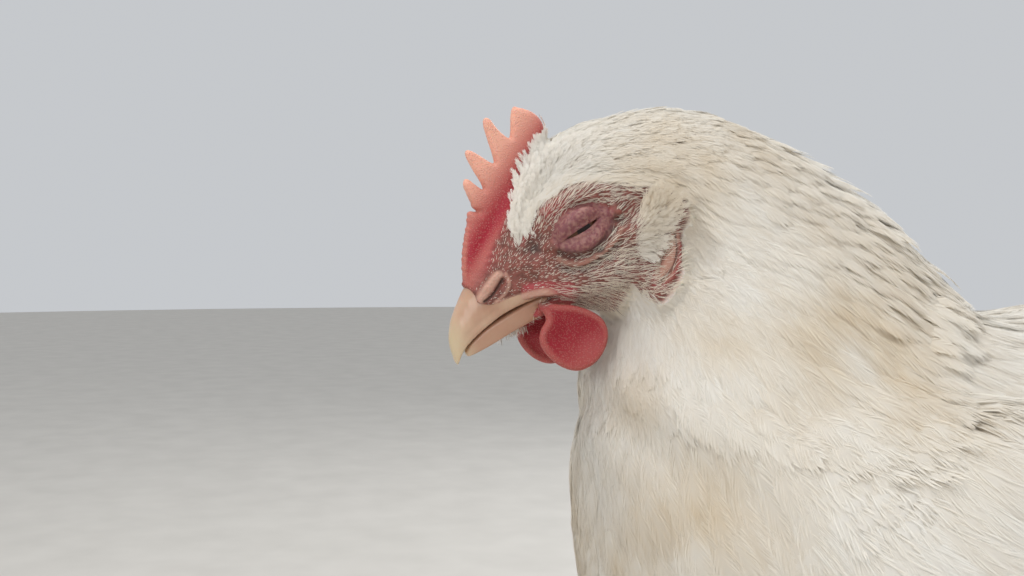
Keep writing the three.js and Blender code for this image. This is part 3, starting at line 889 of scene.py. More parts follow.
class SkinShape:
    """Shapes the one skin in a volume: the body under its coat, then the face, comb and wattles."""

    BODY_NODES = ("trunk", "neck", "head", "eye_left", "thigh_left")
    REACH = 41.0  # how far from the middle of the head its details lie
    FACE_BOX = ((5.0, -2.0), (34.0, 32.0))  # middle and half sizes of a box round the bare face
    EYE_RADIUS = 6.6
    LID_MOUND = ((11.9, -0.6, -0.1), (4.1, 6.9, 5.3))  # centre and half sizes in the head's axes
    SLIT = (5.3, 0.45)  # half length and half height
    EAR_MOUND = ((16.6, -14.6, -7.2), (2.6, 5.2, 4.2))
    EAR_PIT = ((26.0, -20.0, -16.5), (7.0, 6.5, 9.5))
    TAIL_CORE = 4.5  # how much deeper than the coat the tail's core lies
    COMB = (2.7, 1.1)  # half thickness at its base and at its tips

    def __init__(self, axes: HeadAxes, face: Face, wattle: Wattle, coat: Coat, packed: Array) -> None:
        """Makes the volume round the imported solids, from their least and greatest corner.

        Args:
            axes: Where the head stands.
            face: The outlines and folds of the face.
            wattle: The wattle's shape.
            coat: How deep the coat is.
            packed: Their two corners.
        """
        self.axes, self.face, self.wattle, self.coat = axes, face, wattle, coat
        self.centre = axes.out([0.0, 6.0, -1.0])
        self.volume = Volume(Lens(self.centre), *packed)
        self.bare = Chart((-34, -38), (44, 40), 0.5, lambda places: outline_distance(places, face.bare))

    def build(self) -> tuple[Array, Array]:
        """Returns the skin's vertices in millimetres and its quads."""
        self.base()
        log.info("body of the skin shaped, grid %s", self.volume.size)
        self.head()
        log.info("head of the skin shaped")
        return self.volume.skinned(both=True)

    def base(self) -> None:
        """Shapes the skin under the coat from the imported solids."""
        volume, coat = self.volume, self.coat
        wing = volume.node("wing_left", 2)
        body = np.minimum.reduce([volume.node(name, 2) for name in self.BODY_NODES])
        tail = volume.node("tail", 2) + self.TAIL_CORE / volume.lens.coarse
        body = blurred(volume.closed(np.minimum.reduce([body, wing, tail]), 1.3), 3)
        near = volume.window(*self.round(52.0))
        starts = [part.start + low for part, low in zip(near, volume.low, strict=True)]
        sizes = zip(body[near].shape, starts, strict=True)
        spans = [np.arange(count, dtype=np.float32) + start for count, start in sizes]
        reach = np.sqrt(sum(span**2 for span in np.ix_(*spans)))
        inner, outer = volume.lens.stretch(self.centre + np.array([[0, 0, 36.0], [0, 0, 50.0]]))[:, 2]
        share = ramp(reach, outer, inner).astype(np.float32)
        body[near] += share * (blurred(body[near], 7) - body[near])
        found = np.abs(body) < volume.BAND - 0.1
        places = (np.argwhere(found) + volume.low).astype(np.float32)
        points = volume.lens.relax(places)
        scale = volume.lens.scale(places)
        local = self.axes.into(points)
        deep = coat.depth(points, self.axes)
        deep += (coat.wing - deep) * ramp(wing[found] * scale, 9.0, 0.0)
        deep -= coat.rise(points)
        volume.values = body
        volume.values[found] = body[found] * scale + coat.face + (deep - coat.face) * self.covered(local)
        self.wing = wing

    def covered(self, local: Array) -> Array:
        """Returns 0 on the bare face and 1 where the coat is deep, at points in the head's axes.

        Args:
            local: Points in the head's axes, one a row.
        """
        middle, reach = self.FACE_BOX
        near = (np.abs(local[:, 1:] - middle) < reach).all(axis=1)
        share = np.ones(len(local))
        share[near] = ramp(self.bare(local[near][:, 1:]), -0.5, 5.0)
        return share

    def round(self, reach: float) -> tuple[Array, Array]:
        """Returns points at a distance from the middle of the head, below and above it on each axis."""
        return self.centre - reach * np.eye(3), self.centre + reach * np.eye(3)

    def head(self) -> None:
        """Adds the bill's skirt, comb, wattles, lids and folds on one side."""
        volume = self.volume
        box = list(volume.window(*self.round(self.REACH)))
        box[0] = slice(-int(volume.low[0]), volume.window(*self.round(27.0))[0].stop)
        self.box = tuple(box)
        self.local = self.axes.into(volume.points(self.box)).astype(np.float32)
        self.field = volume.values[self.box].copy()
        self.skirt()
        self.mound(self.EAR_PIT, 2.5, Relief.SUNK)
        self.side = self.side_profile()
        self.mound(self.LID_MOUND, 1.2)
        self.mound(self.EAR_MOUND, 2.5)
        for lid in (self.face.upper_lid, self.face.lower_lid):
            rows = along(lid, 24)
            self.tube(rows[:, :3], rows[:, 3], 0.6, Relief.RAISED)
        for fold in self.face.folds.values():
            line, radius = fold.tube(self.side)
            self.tube(line, radius, fold.blend, fold.relief)
        self.slit()
        self.lobes()
        self.comb()
        volume.values[self.box] = self.field

    def side_profile(self) -> Callable[[Array], Array]:
        """Returns a function from forward and up to how far aside the head's surface lies."""
        volume = self.volume
        held = volume.values[self.box].copy()
        volume.values[self.box] = self.field
        aside = np.arange(0, 28, 0.4)

        def outermost(places: Array) -> Array:
            """Returns how far aside the surface lies at rows of forward and up.

            Args:
                places: Rows of forward and up.
            """
            spots = np.concatenate([np.column_stack([np.full(len(places), a), places]) for a in aside])
            inside = (volume.read(self.axes.out(spots)) < 0).reshape(len(aside), -1)
            last = len(aside) - 1 - np.argmax(inside[::-1], axis=0)
            return np.where(inside.any(axis=0), aside[last] + 0.2, 0.0)

        side = Chart((-32, -40), (34, 26), 0.8, outermost)
        volume.values[self.box] = held
        return side

    def near(self, low: Sequence[float], high: Sequence[float]) -> tuple[slice, ...]:
        """Returns the slices of the head's box that hold a box in its own axes.

        Args:
            low: Its least corner.
            high: Its greatest corner.
        """
        low, high = np.array(low, float), np.array(high, float)
        shares = np.array(list(np.ndindex(3, 3, 3))) / 2
        corners = self.axes.out(low + shares * (high - low))
        window = self.volume.window(corners, corners)
        return tuple(
            slice(max(part.start - whole.start, 0), max(min(part.stop, whole.stop) - whole.start, 1))
            for part, whole in zip(window, self.box, strict=True)
        )

    def shape(self, low: Sequence[float], high: Sequence[float], made: Callable[[Array], Array],
              blend: float, relief: Relief = Relief.RAISED) -> None:
        """Joins a shape to the head, or cuts it out.

        Args:
            low: The least corner of a box round the shape, in the head's axes.
            high: Its greatest corner.
            made: Gives the shape's signed distance at rows of points.
            blend: Width of the fillet.
            relief: Whether the shape is added or cut out.
        """
        part = self.near(low, high)
        points = self.local[part]
        found = made(points.reshape(-1, 3).astype(float)).reshape(points.shape[:3])
        act = join_soft if relief is Relief.RAISED else cut_soft
        self.field[part] = act(self.field[part], found, blend)

    def skirt(self) -> None:
        """Carries the skin forward over the roots of the bill, up to the cere's edge."""
        for rows, ends in ((Bill.UPPER, self.face.cere), (Bill.LOWER, Bill.CHIN)):
            edge = np.array(sorted(ends, key=lambda row: row[1]), float)

            def cover(points: Array, rows: Path = rows, edge: Array = edge) -> Array:
                """Returns the distance of the bill's root, a little swollen."""
                limit = np.interp(points[:, 2], edge[:, 1], edge[:, 0])
                return -join_soft(0.35 - Bill.distance(points, rows), limit - points[:, 1], 0.5)

            self.shape((-1, 8, -20), (14, 34, 8), cover, 1.2)

    def mound(self, egg: tuple[Sequence[float], ...], blend: float, relief: Relief = Relief.RAISED) -> None:
        """Adds or cuts out an egg, given by its centre and half sizes.

        Args:
            egg: Its centre and half sizes.
            blend: How wide its fillet is.
            relief: Whether it is added or cut out.
        """
        centre, half = np.array(egg[0]), np.array(egg[1])

        def gap(points: Array) -> Array:
            """Returns about how far points lie from the egg."""
            return (np.linalg.norm((points - centre) / half, axis=1) - 1.0) * half.min()

        self.shape(centre - half - 3, centre + half + 3, gap, blend, relief)

    def tube(self, line: Array, radius: Array, blend: float, relief: Relief) -> None:
        """Adds or cuts out a tube of changing radius along a line."""
        reach = radius.max() + 2 * blend + 0.5
        low, high = line.min(0) - reach, line.max(0) + reach
        self.shape(low, high, lambda points: tube_distance(points, line, radius), blend, relief)

    def slit(self) -> None:
        """Opens the gap between the lids down to the eyeball, with a thin inner rim below it."""
        centre = Eye.place(self.axes)
        self.mound((centre, [self.EYE_RADIUS + 0.35] * 3), 0.3)
        length, height = self.SLIT

        def pocket(points: Array) -> Array:
            """Returns the distance to the gap.

            Args:
                points: Points in the head's axes, one a row.
            """
            share = 1 - (points[:, 1] / length) ** 2
            bow = 0.1 - 0.3 * (1 - share) * np.sign(points[:, 1])
            gap = np.abs(points[:, 2] - bow) - height * share
            gap = gap / np.sqrt(1 + (2 * height * points[:, 1] / length**2) ** 2)
            return np.maximum(gap, self.EYE_RADIUS - 0.3 - np.linalg.norm(points - centre, axis=1))

        self.shape((9, -10, -5), (20, 10, 5), pocket, 0.5, Relief.SUNK)
        spots = np.array([[4.0, -0.75], [2.0, -1.2], [-0.8, -1.25], [-3.4, -0.85]])
        rise = np.sqrt((self.EYE_RADIUS + 0.2) ** 2 - (spots**2).sum(axis=1))
        rim = np.column_stack([centre[0] + rise, spots])
        self.tube(rim, np.array([0.3, 0.5, 0.5, 0.3]), 0.25, Relief.RAISED)

    def lobes(self) -> None:
        """Adds the wattle: a thick rim round a thin dished web."""
        wattle = self.wattle
        rim = along([*wattle.rim, wattle.rim[0]], 60)
        plane = np.linalg.lstsq(np.column_stack([np.ones(len(rim)), rim[:, 1:]]), rim[:, 0], rcond=None)[0]
        low, high = rim.min(0) - 4, rim.max(0) + 4
        self.web = Chart(low[1:], high[1:], 0.25, lambda places: outline_distance(places, rim[:, 1:]))

        def lobe(points: Array) -> Array:
            """Returns the distance to the wattle.

            Args:
                points: Points in the head's axes, one a row.
            """
            flat = self.web(points[:, 1:])
            middle = np.column_stack([np.ones(len(points)), points[:, 1:]]) @ plane
            middle -= wattle.dish * ramp(-flat, 0.3, 6.0)
            web = np.maximum(np.abs(points[:, 0] - middle) - wattle.web, flat)
            return join_soft(web, near_path(points, rim)[0] - wattle.rim_radius, wattle.blend)

        self.shape(low, high, lobe, 1.2)

    @staticmethod
    def comb_height(local: Array) -> Array:
        """Returns how far up the comb points lie, square to its slanting base."""
        return local[:, 2] + 0.45 * local[:, 1]

    def comb(self) -> None:
        """Adds the single comb, thin at its tips, with a scalloped front edge."""
        outline = along([*self.face.comb, self.face.comb[0]], 4 * len(self.face.comb))[:-1]
        self.blade = Chart((-12, -4), (33, 38), 0.25, lambda places: outline_distance(places, outline))

        def blade(points: Array) -> Array:
            """Returns the distance to the comb.

            Args:
                points: Rows of forward and up.
            """
            base, tip = self.COMB
            half = base + (tip - base) * ramp(self.comb_height(points), 13.0, 33.0)
            edge = self.blade(points[:, 1:]) - 0.1
            front = points[:, 2] - points[:, 1]
            edge += 0.09 * (np.sin(2.3 * front) + np.sin(3.7 * front + 1.0)) * ramp(points[:, 1], 15.0, 20.0)
            return np.hypot(np.maximum(edge + half, 0.0), points[:, 0]) - half

        self.shape((-1, -12, -3), (6, 33, 37), blade, 2.4)


# ---------------------------------------------------------------- bill, eyes, claws
@dataclass(frozen=True)
class Bill:
    """The horny bill. Rows are forward, low, high and half width, in the head's axes."""

    UPPER: ClassVar[Path] = (
        (10, -10.8, -5, 7.2), (14, -10.6, -3, 7.4), (20, -9.6, -0.6, 7), (25, -9.4, 0.9, 6.2),
        (29, -9.9, 0.7, 5.4), (33, -10.8, -1.9, 4.3), (36.4, -12.0, -4.7, 3.2), (38.8, -13.6, -7.8, 2.2),
        (40.1, -15.1, -10.8, 1.35), (40.6, -16, -13.4, 0.7),
    )  # fmt: skip
    LOWER: ClassVar[Path] = (
        (9, -15.6, -10.6, 6.4), (17, -14.9, -9.6, 6), (25, -14.7, -9.6, 4.9), (31, -14.9, -10.2, 3.7),
        (35.5, -14.9, -11.8, 2.3), (37.3, -14.8, -13.2, 1.1),
    )  # fmt: skip
    CHIN: ClassVar[Path] = ((21, -17), (21.5, -15), (17, -12.6), (13, -11.4), (11, -10))
    STEP: ClassVar[float] = 0.22

    @staticmethod
    def sizes(points: Array, rows: Path) -> tuple[Array, Array, Array]:
        """Returns the low edge, high edge and half width of one half of the bill at points."""
        table = along(rows, 60)
        return tuple(np.interp(points[:, 1], table[:, 0], table[:, i]) for i in (1, 2, 3))

    @staticmethod
    def distance(points: Array, rows: Path) -> Array:
        """Returns about how far points of the head are from one half of the bill.

        Args:
            points: Points in the head's axes, one a row.
            rows: The half's outline.
        """
        low, high, half = Bill.sizes(points, rows)
        middle, tall = (low + high) / 2, (high - low) / 2
        arm = np.hypot(points[:, 0] / half, (points[:, 2] - middle) / tall)
        return (arm - 1.0) * np.minimum(half, tall)

    @staticmethod
    def horn(points: Array, rows: Path, widest: float) -> Array:
        """Returns the distance to a horn that is widest at a share of its height.

        Args:
            points: Points in the head's axes, one a row.
            rows: Its outline.
            widest: The share of its height where it is widest.
        """
        low, high, half = Bill.sizes(points, rows)
        share = (points[:, 2] - low) / np.maximum(high - low, 0.3)
        above = np.clip((share - widest) / (1 - widest), 0, 1)
        below = np.clip((widest - share) / widest, 0, 1)
        width = half * np.sqrt(1 - above**2) * (1 - 0.1 * below**2)
        flat = np.maximum(low - points[:, 2], points[:, 2] - high)
        ends = np.maximum(rows[0][0] - points[:, 1], points[:, 1] - rows[-1][0])
        return np.maximum.reduce([np.abs(points[:, 0]) - width, flat, ends])

    def build(self, axes: HeadAxes) -> dict[str, bpy.types.Object]:
        """Makes the upper and the lower bill.

        Args:
            axes: Where the head stands.
        """
        made = {}
        for name, rows, widest in (("beak_upper", self.UPPER, 0.25), ("beak_lower", self.LOWER, 0.75)):
            middle = axes.out([0.0, 25.0, -8.0])
            corners = axes.out(np.array([[0, b, c] for b in (7, 43) for c in (-18, 4)], float))
            low, high = corners.min(0) - [9, 1, 1], corners.max(0) + [9, 1, 1]
            volume = Volume(even(middle, self.STEP), low, high)
            flat = axes.into(volume.points(volume.full).reshape(-1, 3))
            field = self.horn(flat, rows, widest)
            lines = self.lines(flat, rows) if name == "beak_upper" else 0.0
            volume.values = blurred((field + lines).reshape(volume.size).astype(np.float32) / self.STEP, 3)
            points, quads = volume.skinned(both=True)
            made[name] = mesh_object(name.replace("beak", "bill"), points, [quads])
            mark(made[name], "tip", ramp(axes.into(points)[:, 1], 33.5, 39.5))
            # painted shade: the whole lower bill is marked to be darkened as if under the upper one
            mark(made[name], "low", np.full(len(points), float("lower" in name)))
        return made

    @staticmethod
    def lines(points: Array, rows: Path) -> Array:
        """Returns the shallow groove above the cutting edge and fine growth lines.

        Args:
            points: Points in the head's axes, one a row.
            rows: The half's outline.
        """
        low, _, _ = Bill.sizes(points, rows)
        groove = 0.22 * np.exp(-(((points[:, 2] - low - 2.0) / 0.55) ** 2)) * ramp(points[:, 1], 21, 27)
        growth = 0.03 * np.sin(points[:, 1] * 4.1 + points[:, 2] * 1.3)
        return groove * ramp(points[:, 1], 38, 34) + growth


@dataclass(frozen=True)
class Eye:
    """A brown eyeball behind nearly shut lids."""

    radius: float = 6.45
    iris: float = 0.62  # its edge, as an angle from the middle in radians
    pupil: float = 0.27

    @staticmethod
    def place(axes: HeadAxes) -> Array:
        """Returns the left eyeball's middle in the head's axes."""
        low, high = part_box("eye_left")
        return axes.into(np.array((low + high) / 2) / MM)

    def build(self, axes: HeadAxes, side: str) -> bpy.types.Object:
        """Makes one eyeball with its distance from the gaze marked.

        Args:
            axes: Where the head stands.
            side: Which side it is on.
        """
        middle = self.place(axes) * [SIDES[side], 1, 1]
        rings, sides = 40, 56
        tilt = np.linspace(0, math.pi, rings)[:, None]
        turn = np.linspace(0, 2 * math.pi, sides, endpoint=False)[None, :]
        bulge = self.radius + 0.25 * ramp(tilt, 0.9, 0.3)
        out = bulge * np.sin(tilt)
        aside = bulge * np.cos(tilt) * SIDES[side] * np.ones_like(turn)
        local = np.stack([aside, out * np.cos(turn), out * np.sin(turn)], axis=-1).reshape(-1, 3) + middle
        quads = ring_quads(rings, sides)
        quads = quads if side == "right" else quads[:, ::-1]
        eye = mesh_object(f"eyeball_{side}", axes.out(local), [quads])
        mark(eye, "gaze", np.repeat(tilt[:, 0], sides))
        return eye


@dataclass(frozen=True)
class Toe:
    """One toe of the left foot: its turn away from forward in degrees, its length and thickness."""

    turn: float
    length: float
    thick: float
    pads: int
    root: float = 6.0  # height of its root
    claw: float = 12.5
    claw_radius: float = 2.4

    def way(self) -> Array:
        """Returns the toe's direction over the floor."""
        turn = math.radians(self.turn)
        return np.array([math.sin(turn), -math.cos(turn), 0.0])

    def path(self, foot: Array, count: int = 26) -> tuple[Array, Array]:
        """Returns the toe's line from the middle of the foot, and its radius there.

        Args:
            foot: The middle of the foot.
            count: How many.
        """
        share = np.linspace(0, 1, count)
        radius = self.thick * (1.0 - 0.36 * share) * (1 + 0.09 * np.cos(2 * math.pi * self.pads * share))
        radius *= 1 - 0.25 * ramp(share, 0.9, 1.0)
        height = radius * 0.97 + (self.root - self.thick) * ramp(share, 0.3, 0.0)
        return foot + share[:, None] * self.length * self.way() + height[:, None] * [0, 0, 1], radius

    def horn(self, foot: Array) -> tuple[Array, Array]:
        """Returns the claw's line and radius, from inside the toe's end to its point.

        Args:
            foot: The middle of the foot.
        """
        line, radius = self.path(foot)
        share = np.linspace(0, 1, 14)
        reach = -2.5 + (self.claw + 2.5) * share
        rise = 1.0 * np.sin(math.pi * np.clip(share * 1.15, 0, 1)) - (line[-1][2] - 0.75) * share**1.6
        points = line[-1] + reach[:, None] * self.way() + rise[:, None] * [0, 0, 1]
        return points, self.claw_radius * np.sqrt(np.clip(1 - share, 0.02, 1)) * (1 - 0.2 * share)


@dataclass(frozen=True)
class Leg:
    """The scaly leg below the feathers, from the hock to the toes, for the left side."""

    shank: Path = (
        (43, -21.5, 118, 6.4), (43, -22.0, 106, 6.6), (43, -22.4, 97, 6.9), (43, -23.0, 89, 6.6),
        (42.8, -24.2, 76, 5.0), (42.2, -25.8, 60, 4.7), (41.6, -27.2, 44, 4.8), (41.2, -29.0, 26, 5.2),
        (41, -30.6, 13, 6.2), (41, -31.4, 8, 6.6),
    )  # fmt: skip
    foot: tuple[float, float, float] = (41.0, -32.05, 0.0)
    toes: dict[str, Toe] = field(
        default_factory=lambda: {
            "middle": Toe(3, 56, 4.8, 4),
            "inner": Toe(-34, 41, 4.3, 3),
            "outer": Toe(40, 45, 4.3, 4),
            "hind": Toe(172, 19, 3.6, 2, root=8.5, claw=10.5),
        }
    )
    BOX: ClassVar[Path] = ((4.0, -98.0, -2.0), (86.0, 0.0, 121.0))  # round the leg
    MIDDLE: ClassVar[Sequence[float]] = (41.0, -30.0, 30.0)
    step: float = 0.8
    plate: float = 4.2  # height of a plate on the front of the shank
    toe_plate: float = 2.7
    grain: float = 1.5  # width of the small scales

    def build(self) -> tuple[Array, Array]:
        """Returns the left leg's vertices and quads."""
        low, high = (np.array(corner) for corner in self.BOX)
        volume = Volume(even(np.array(self.MIDDLE), self.step), low, high, margin=10**6)
        foot = np.array(self.foot)
        shank = along(self.shank, 28)
        tubes = [(shank[:, :3], shank[:, 3], 2.0)]
        tubes += [(*toe.path(foot), 2.4) for toe in self.toes.values()]
        tubes.append((foot + np.array([[0, -2, 5.6], [0, 2, 6.0]]), np.array([6.6, 6.6]), 3.0))
        volume.values[:] = 50.0
        for line, radius, blend in tubes:
            window = volume.window(line.min(0) - 10, line.max(0) + 10)
            points = volume.points(window)
            tube = tube_distance(points.reshape(-1, 3), line, radius).reshape(points.shape[:3])
            volume.values[window] = join_soft(volume.values[window], tube, blend)
        height = volume.points(volume.full)[..., 2]
        volume.values = -join_soft(-volume.values, height, 0.8).astype(np.float32) / self.step
        points, quads = volume.skinned(both=False)
        return self.scaled(points, quads), quads

    def scaled(self, points: Array, quads: Array) -> Array:
        """Returns the points with plates and small scales raised on them.

        Args:
            points: Places in the frame, in millimetres, one a row.
            quads: Quads, one a row.
        """
        facing = normals(points, quads)
        line = along(self.shank, 30)
        gap, share = near_path(points, line[:, :3])
        length = np.linalg.norm(np.diff(line[:, :3], axis=0), axis=1).sum()
        best, plates = gap - 5.0, share * length / self.plate
        front = ramp(-facing[:, 1], -0.15, 0.25)
        plates = plates + 0.5 * (facing[:, 0] > 0)
        for toe in self.toes.values():
            path, _ = toe.path(np.array(self.foot))
            gap, share = near_path(points, path)
            closer = (gap - 4.0 < best) & (points[:, 2] < 17)
            best = np.where(closer, gap - 4.0, best)
            plates = np.where(closer, share * toe.length / self.toe_plate, plates)
            front = np.where(closer, ramp(facing[:, 2], -0.1, 0.3), front)
        part = plates - np.floor(plates)
        plate = 0.26 * (1 - part) * ramp(part, 0.0, 0.16) - 0.12
        nearest, second = cells(points, self.grain, 11)
        grain = 0.2 * ramp(second - nearest, 0.0, 0.35) - 0.14
        raised = front * plate + (1 - front) * grain
        raised *= ramp(points[:, 2], 0.2, 1.2) * ramp(points[:, 2], 118, 108)
        return points + facing * raised[:, None]


def normals(points: Array, quads: Array) -> Array:
    """Returns the mean outward direction at each point of a mesh of quads.

    Args:
        points: Places in the frame, in millimetres, one a row.
        quads: Quads, one a row.
    """
    across = points[quads[:, 2]] - points[quads[:, 0]]
    down = points[quads[:, 3]] - points[quads[:, 1]]
    faces = np.cross(across, down)
    total = np.zeros_like(points)
    for axis in range(3):
        total[:, axis] = sum(np.bincount(quads[:, i], faces[:, axis], len(points)) for i in range(4))
    return unit(total)


def cells(points: Array, size: float, seed: int) -> tuple[Array, Array]:
    """Returns the distances to the nearest and second nearest of scattered spots, in their spacing.

    Args:
        points: Places in the frame, in millimetres, one a row.
        size: The spacing of the spots, in millimetres.
        seed: Which draw.
    """
    place = points / size
    cell = np.floor(place)
    nearest, second = np.full(len(points), 9.0), np.full(len(points), 9.0)
    for corner in np.ndindex(3, 3, 3):
        there = cell + np.array(corner) - 1
        spot = there + np.stack([chance(there, seed + i) for i in range(3)], axis=-1)
        gap = np.linalg.norm(place - spot, axis=-1)
        second = np.minimum(second, np.maximum(gap, nearest))
        nearest = np.minimum(nearest, gap)
    return nearest, second


def ring_quads(rings: int, sides: int) -> Array:
    """Returns the quads between rings of points that follow each other."""
    cell = np.arange((rings - 1) * sides).reshape(-1, sides)
    beside = np.roll(cell, -1, 1)
    return np.stack([cell, cell + sides, beside + sides, beside], axis=-1).reshape(-1, 4)


def tapered(line: Array, radius: Array, sides: int, oval: float) -> tuple[Array, Array]:
    """Returns the points and quads of a closed horn along a line, oval times as wide as tall.

    Args:
        line: Its middle line.
        radius: Its radius along the line.
        sides: How many sides it has.
        oval: Its width as a share of its height.
    """
    way = unit(np.gradient(line, axis=0))
    across = unit(np.cross(way, [0.0, 0.0, 1.0]))
    above = np.cross(across, way)
    turn = np.linspace(0, 2 * math.pi, sides, endpoint=False)
    ring = np.cos(turn)[None, :, None] * across[:, None] * oval + np.sin(turn)[None, :, None] * above[:, None]
    points = (line[:, None] + ring * radius[:, None, None]).reshape(-1, 3)
    return points, ring_quads(len(line), sides)


# ---------------------------------------------------------------- markings
@dataclass
class Marks:
    """Where each colour of the bare head lies, from 0 to 1, at points in the head's axes."""

    shape: SkinShape

    def far(self, local: Array) -> Array:
        """Returns which points lie past the charts of the head."""
        return (local[:, 1] < -30) | (local[:, 1] > 44) | (local[:, 2] < -36) | (local[:, 2] > 37)

    def line(self, local: Array, fold: str, width: float) -> Array:
        """Returns how near points lie to a fold's line, seen from the side.

        Args:
            local: Points in the head's axes, one a row.
            fold: The fold's name.
            width: How far the mark reaches, in millimetres.
        """
        path = np.array(self.shape.face.folds[fold].path, float)[:, :2]
        path = along(path, 3 * len(path)) if len(path) > 2 else path
        gap = near_path(local[:, 1:], path)[0]
        return ramp(gap, width, width * 0.35) * ramp(np.abs(local[:, 0]), 2.0, 3.5)

    def lines(self, local: Array, **folds: tuple[float, float]) -> list[Array]:
        """Returns how near points lie to the lines of folds, from the width and share of each."""
        return [self.line(local, name, width) * share for name, (width, share) in folds.items()]

    @staticmethod
    def spots(local: Array, rows: Path) -> list[Array]:
        """Returns marks in round spots, each given by forward, up, radius and share."""
        gaps = [np.hypot(local[:, 1] - forward, local[:, 2] - up) for forward, up, _, _ in rows]
        return [share * ramp(gap, r, 0.3 * r) for gap, (_, _, r, share) in zip(gaps, rows, strict=True)]

    def lids(self, local: Array) -> Array:
        """Returns 1 on the lids."""
        reach = np.hypot((local[:, 1] + 0.4) / 7.6, local[:, 2] / 5.5)
        return ramp(reach, 1.08, 0.92) * (np.abs(local[:, 0]) > 8)

    def comb(self, local: Array) -> Array:
        """Returns 1 on the comb."""
        found = ramp(self.shape.blade(local[:, 1:]), 1.6, 0.2) * ramp(np.abs(local[:, 0]), 5.2, 3.4)
        found *= ramp(SkinShape.comb_height(local), 9, 17)
        return found * ramp(self.shape.bare(local[:, 1:]), 1.2, -0.3)

    def wattle(self, local: Array) -> Array:
        """Returns 1 on the wattles."""
        found = ramp(self.shape.web(local[:, 1:]), 2.2, 1.2) * ramp(local[:, 2], -11.5, -13.5)
        return found * (np.abs(local[:, 0]) > 5.5) * (local[:, 1] > 3.5)

    def flesh(self, local: Array) -> Array:
        """Returns 1 on the comb and the wattles."""
        return np.maximum(self.comb(local), self.wattle(local))

    def rim(self, local: Array) -> Array:
        """Returns 1 at the edges and tips of the comb and wattles, 0 in their middles.

        Args:
            local: Points in the head's axes, one a row.
        """
        height = SkinShape.comb_height(local)
        comb = ramp(self.shape.blade(local[:, 1:]), -1.2, -0.1) * 0.4
        comb = np.maximum.reduce([comb, ramp(height, 18, 31), 0.55 * ramp(height, 18, 12)]) * self.comb(local)
        lobe = ramp(self.shape.web(local[:, 1:]), -1.3, -0.1) * 0.18
        # partly the wattle's own paler, speckled lower half, partly painted shade that leaves its top darker
        lobe = np.maximum(lobe, ramp(local[:, 2], -21, -31) * 0.14)
        return np.maximum(comb, lobe * self.wattle(local))

    def pale(self, local: Array) -> Array:
        """Returns 1 on the beige lip, nostril flap, lower eye fold and ear lobe.

        Args:
            local: Points in the head's axes, one a row.
        """
        lip = self.lines(local, lip=(1.35, 0.95))[0] * ramp(local[:, 1], 10.5, 14.5)
        other = self.lines(
            local, operculum=(1.7, 1.0), nostril_rim=(0.6, 0.6), second_fold=(0.9, 0.45),
            lobe_strip=(1.0, 0.7), lobe_pad=(2.2, 0.8),
        )  # fmt: skip
        return np.maximum.reduce([lip, *other])

    def crease_shade(self, local: Array) -> Array:
        """Returns 1 where shade is painted dark grey into the creases round the eye.

        Args:
            local: Points in the head's axes, one a row.
        """
        found = self.lines(local, under_lid=(1.5, 0.55), under_fold=(1.2, 0.55), lore=(2.6, 0.55))
        rows = (
            (-9.2, -2.6, 2.0, 1), (-6.6, -3.6, 1.6, 1), (11.4, 1.0, 2.2, 1), (-1.5, -6.4, 1.4, 1),
            (-3.0, -9.4, 1.4, 1),
        )  # fmt: skip
        grain = 0.5 + 0.5 * cloud(folded(local), 0.8, 21)
        return np.maximum.reduce([*found, *self.spots(local, rows)]) * (0.35 + 0.65 * grain)

    def groove_shade_and_wattle_tone(self, local: Array) -> Array:
        """Returns 1 where shade is painted into the nostril and the grooves of the mouth and ear lobe, and a
        little on the wattles for their darker red.
        """
        found = self.lines(local, nostril=(0.5, 1.0), mouth=(0.5, 0.5), lobe_line=(0.45, 0.7))
        return np.maximum.reduce([*found, 0.13 * self.wattle(local)])

    def flush(self, local: Array) -> Array:
        """Returns 1 where the face is reddest.

        Args:
            local: Points in the head's axes, one a row.
        """
        found = self.lines(
            local, red_strip=(2.2, 1.0), jaw_fold=(2.0, 1.0), crease=(0.9, 0.3), lobe_rim=(0.8, 0.45),
            lobe_front=(1.2, 0.5),
        )  # fmt: skip
        rows = (
            (24, 7, 7, 0.8), (17, 12, 6, 0.8), (9.2, -12, 3, 1), (12, 6, 3, 0.6), (10, -14.5, 4, 1),
            (3, 8, 5, 0.4),
        )  # fmt: skip
        return np.maximum.reduce([*found, *self.spots(local, rows)])

    def down(self, local: Array) -> Array:
        """Returns 1 where feathers cover the skin, which is as white as they are."""
        near = ramp(self.shape.bare(local[:, 1:]), 0.2, 2.0) * (1 - self.flesh(local))
        return np.where(self.far(local), 1.0, near)

    @staticmethod
    def warm(points: Array) -> Array:
        """Returns how buff the plumage is at points of the frame, from 0 to 1.

        Args:
            points: Places in the frame, in millimetres, one a row.
        """
        patches = (  # aside, forward, up, reach and share
            (52, 46, 280, 26, 0.5), (60, 40, 268, 16, 0.55), (27, 76, 280, 9, 0.6), (30, 84, 238, 15, 0.6),
            (22, 97, 222, 13, 0.5), (45, 15, 277, 12, 0.15), (18, 86, 319, 15, 0.45),
            (15, 60, 330, 14, 0.35), (20, 98, 262, 9, 0.3), (60, -60, 270, 30, 0.2),
            (40, 20, 140, 34, 0.35), (70, 30, 190, 22, 0.3), (20, -150, 240, 26, 0.4),
        )  # fmt: skip
        total = np.zeros(len(points))
        for side, forward, up, reach, share in patches:
            gap = np.linalg.norm((folded(points) - [side, MIDDLE - forward, up]) * [0.6, 1, 1], axis=1)
            total = np.maximum(total, share * np.exp(-((gap / reach) ** 2)))
        grain = 0.75 + 0.5 * cloud(points, 11.0, 31) + 0.25 * cloud(points, 4.0, 32)
        return np.clip(total * grain + 0.1 * ramp(cloud(points, 26.0, 33), 0.1, 0.8), 0, 1)

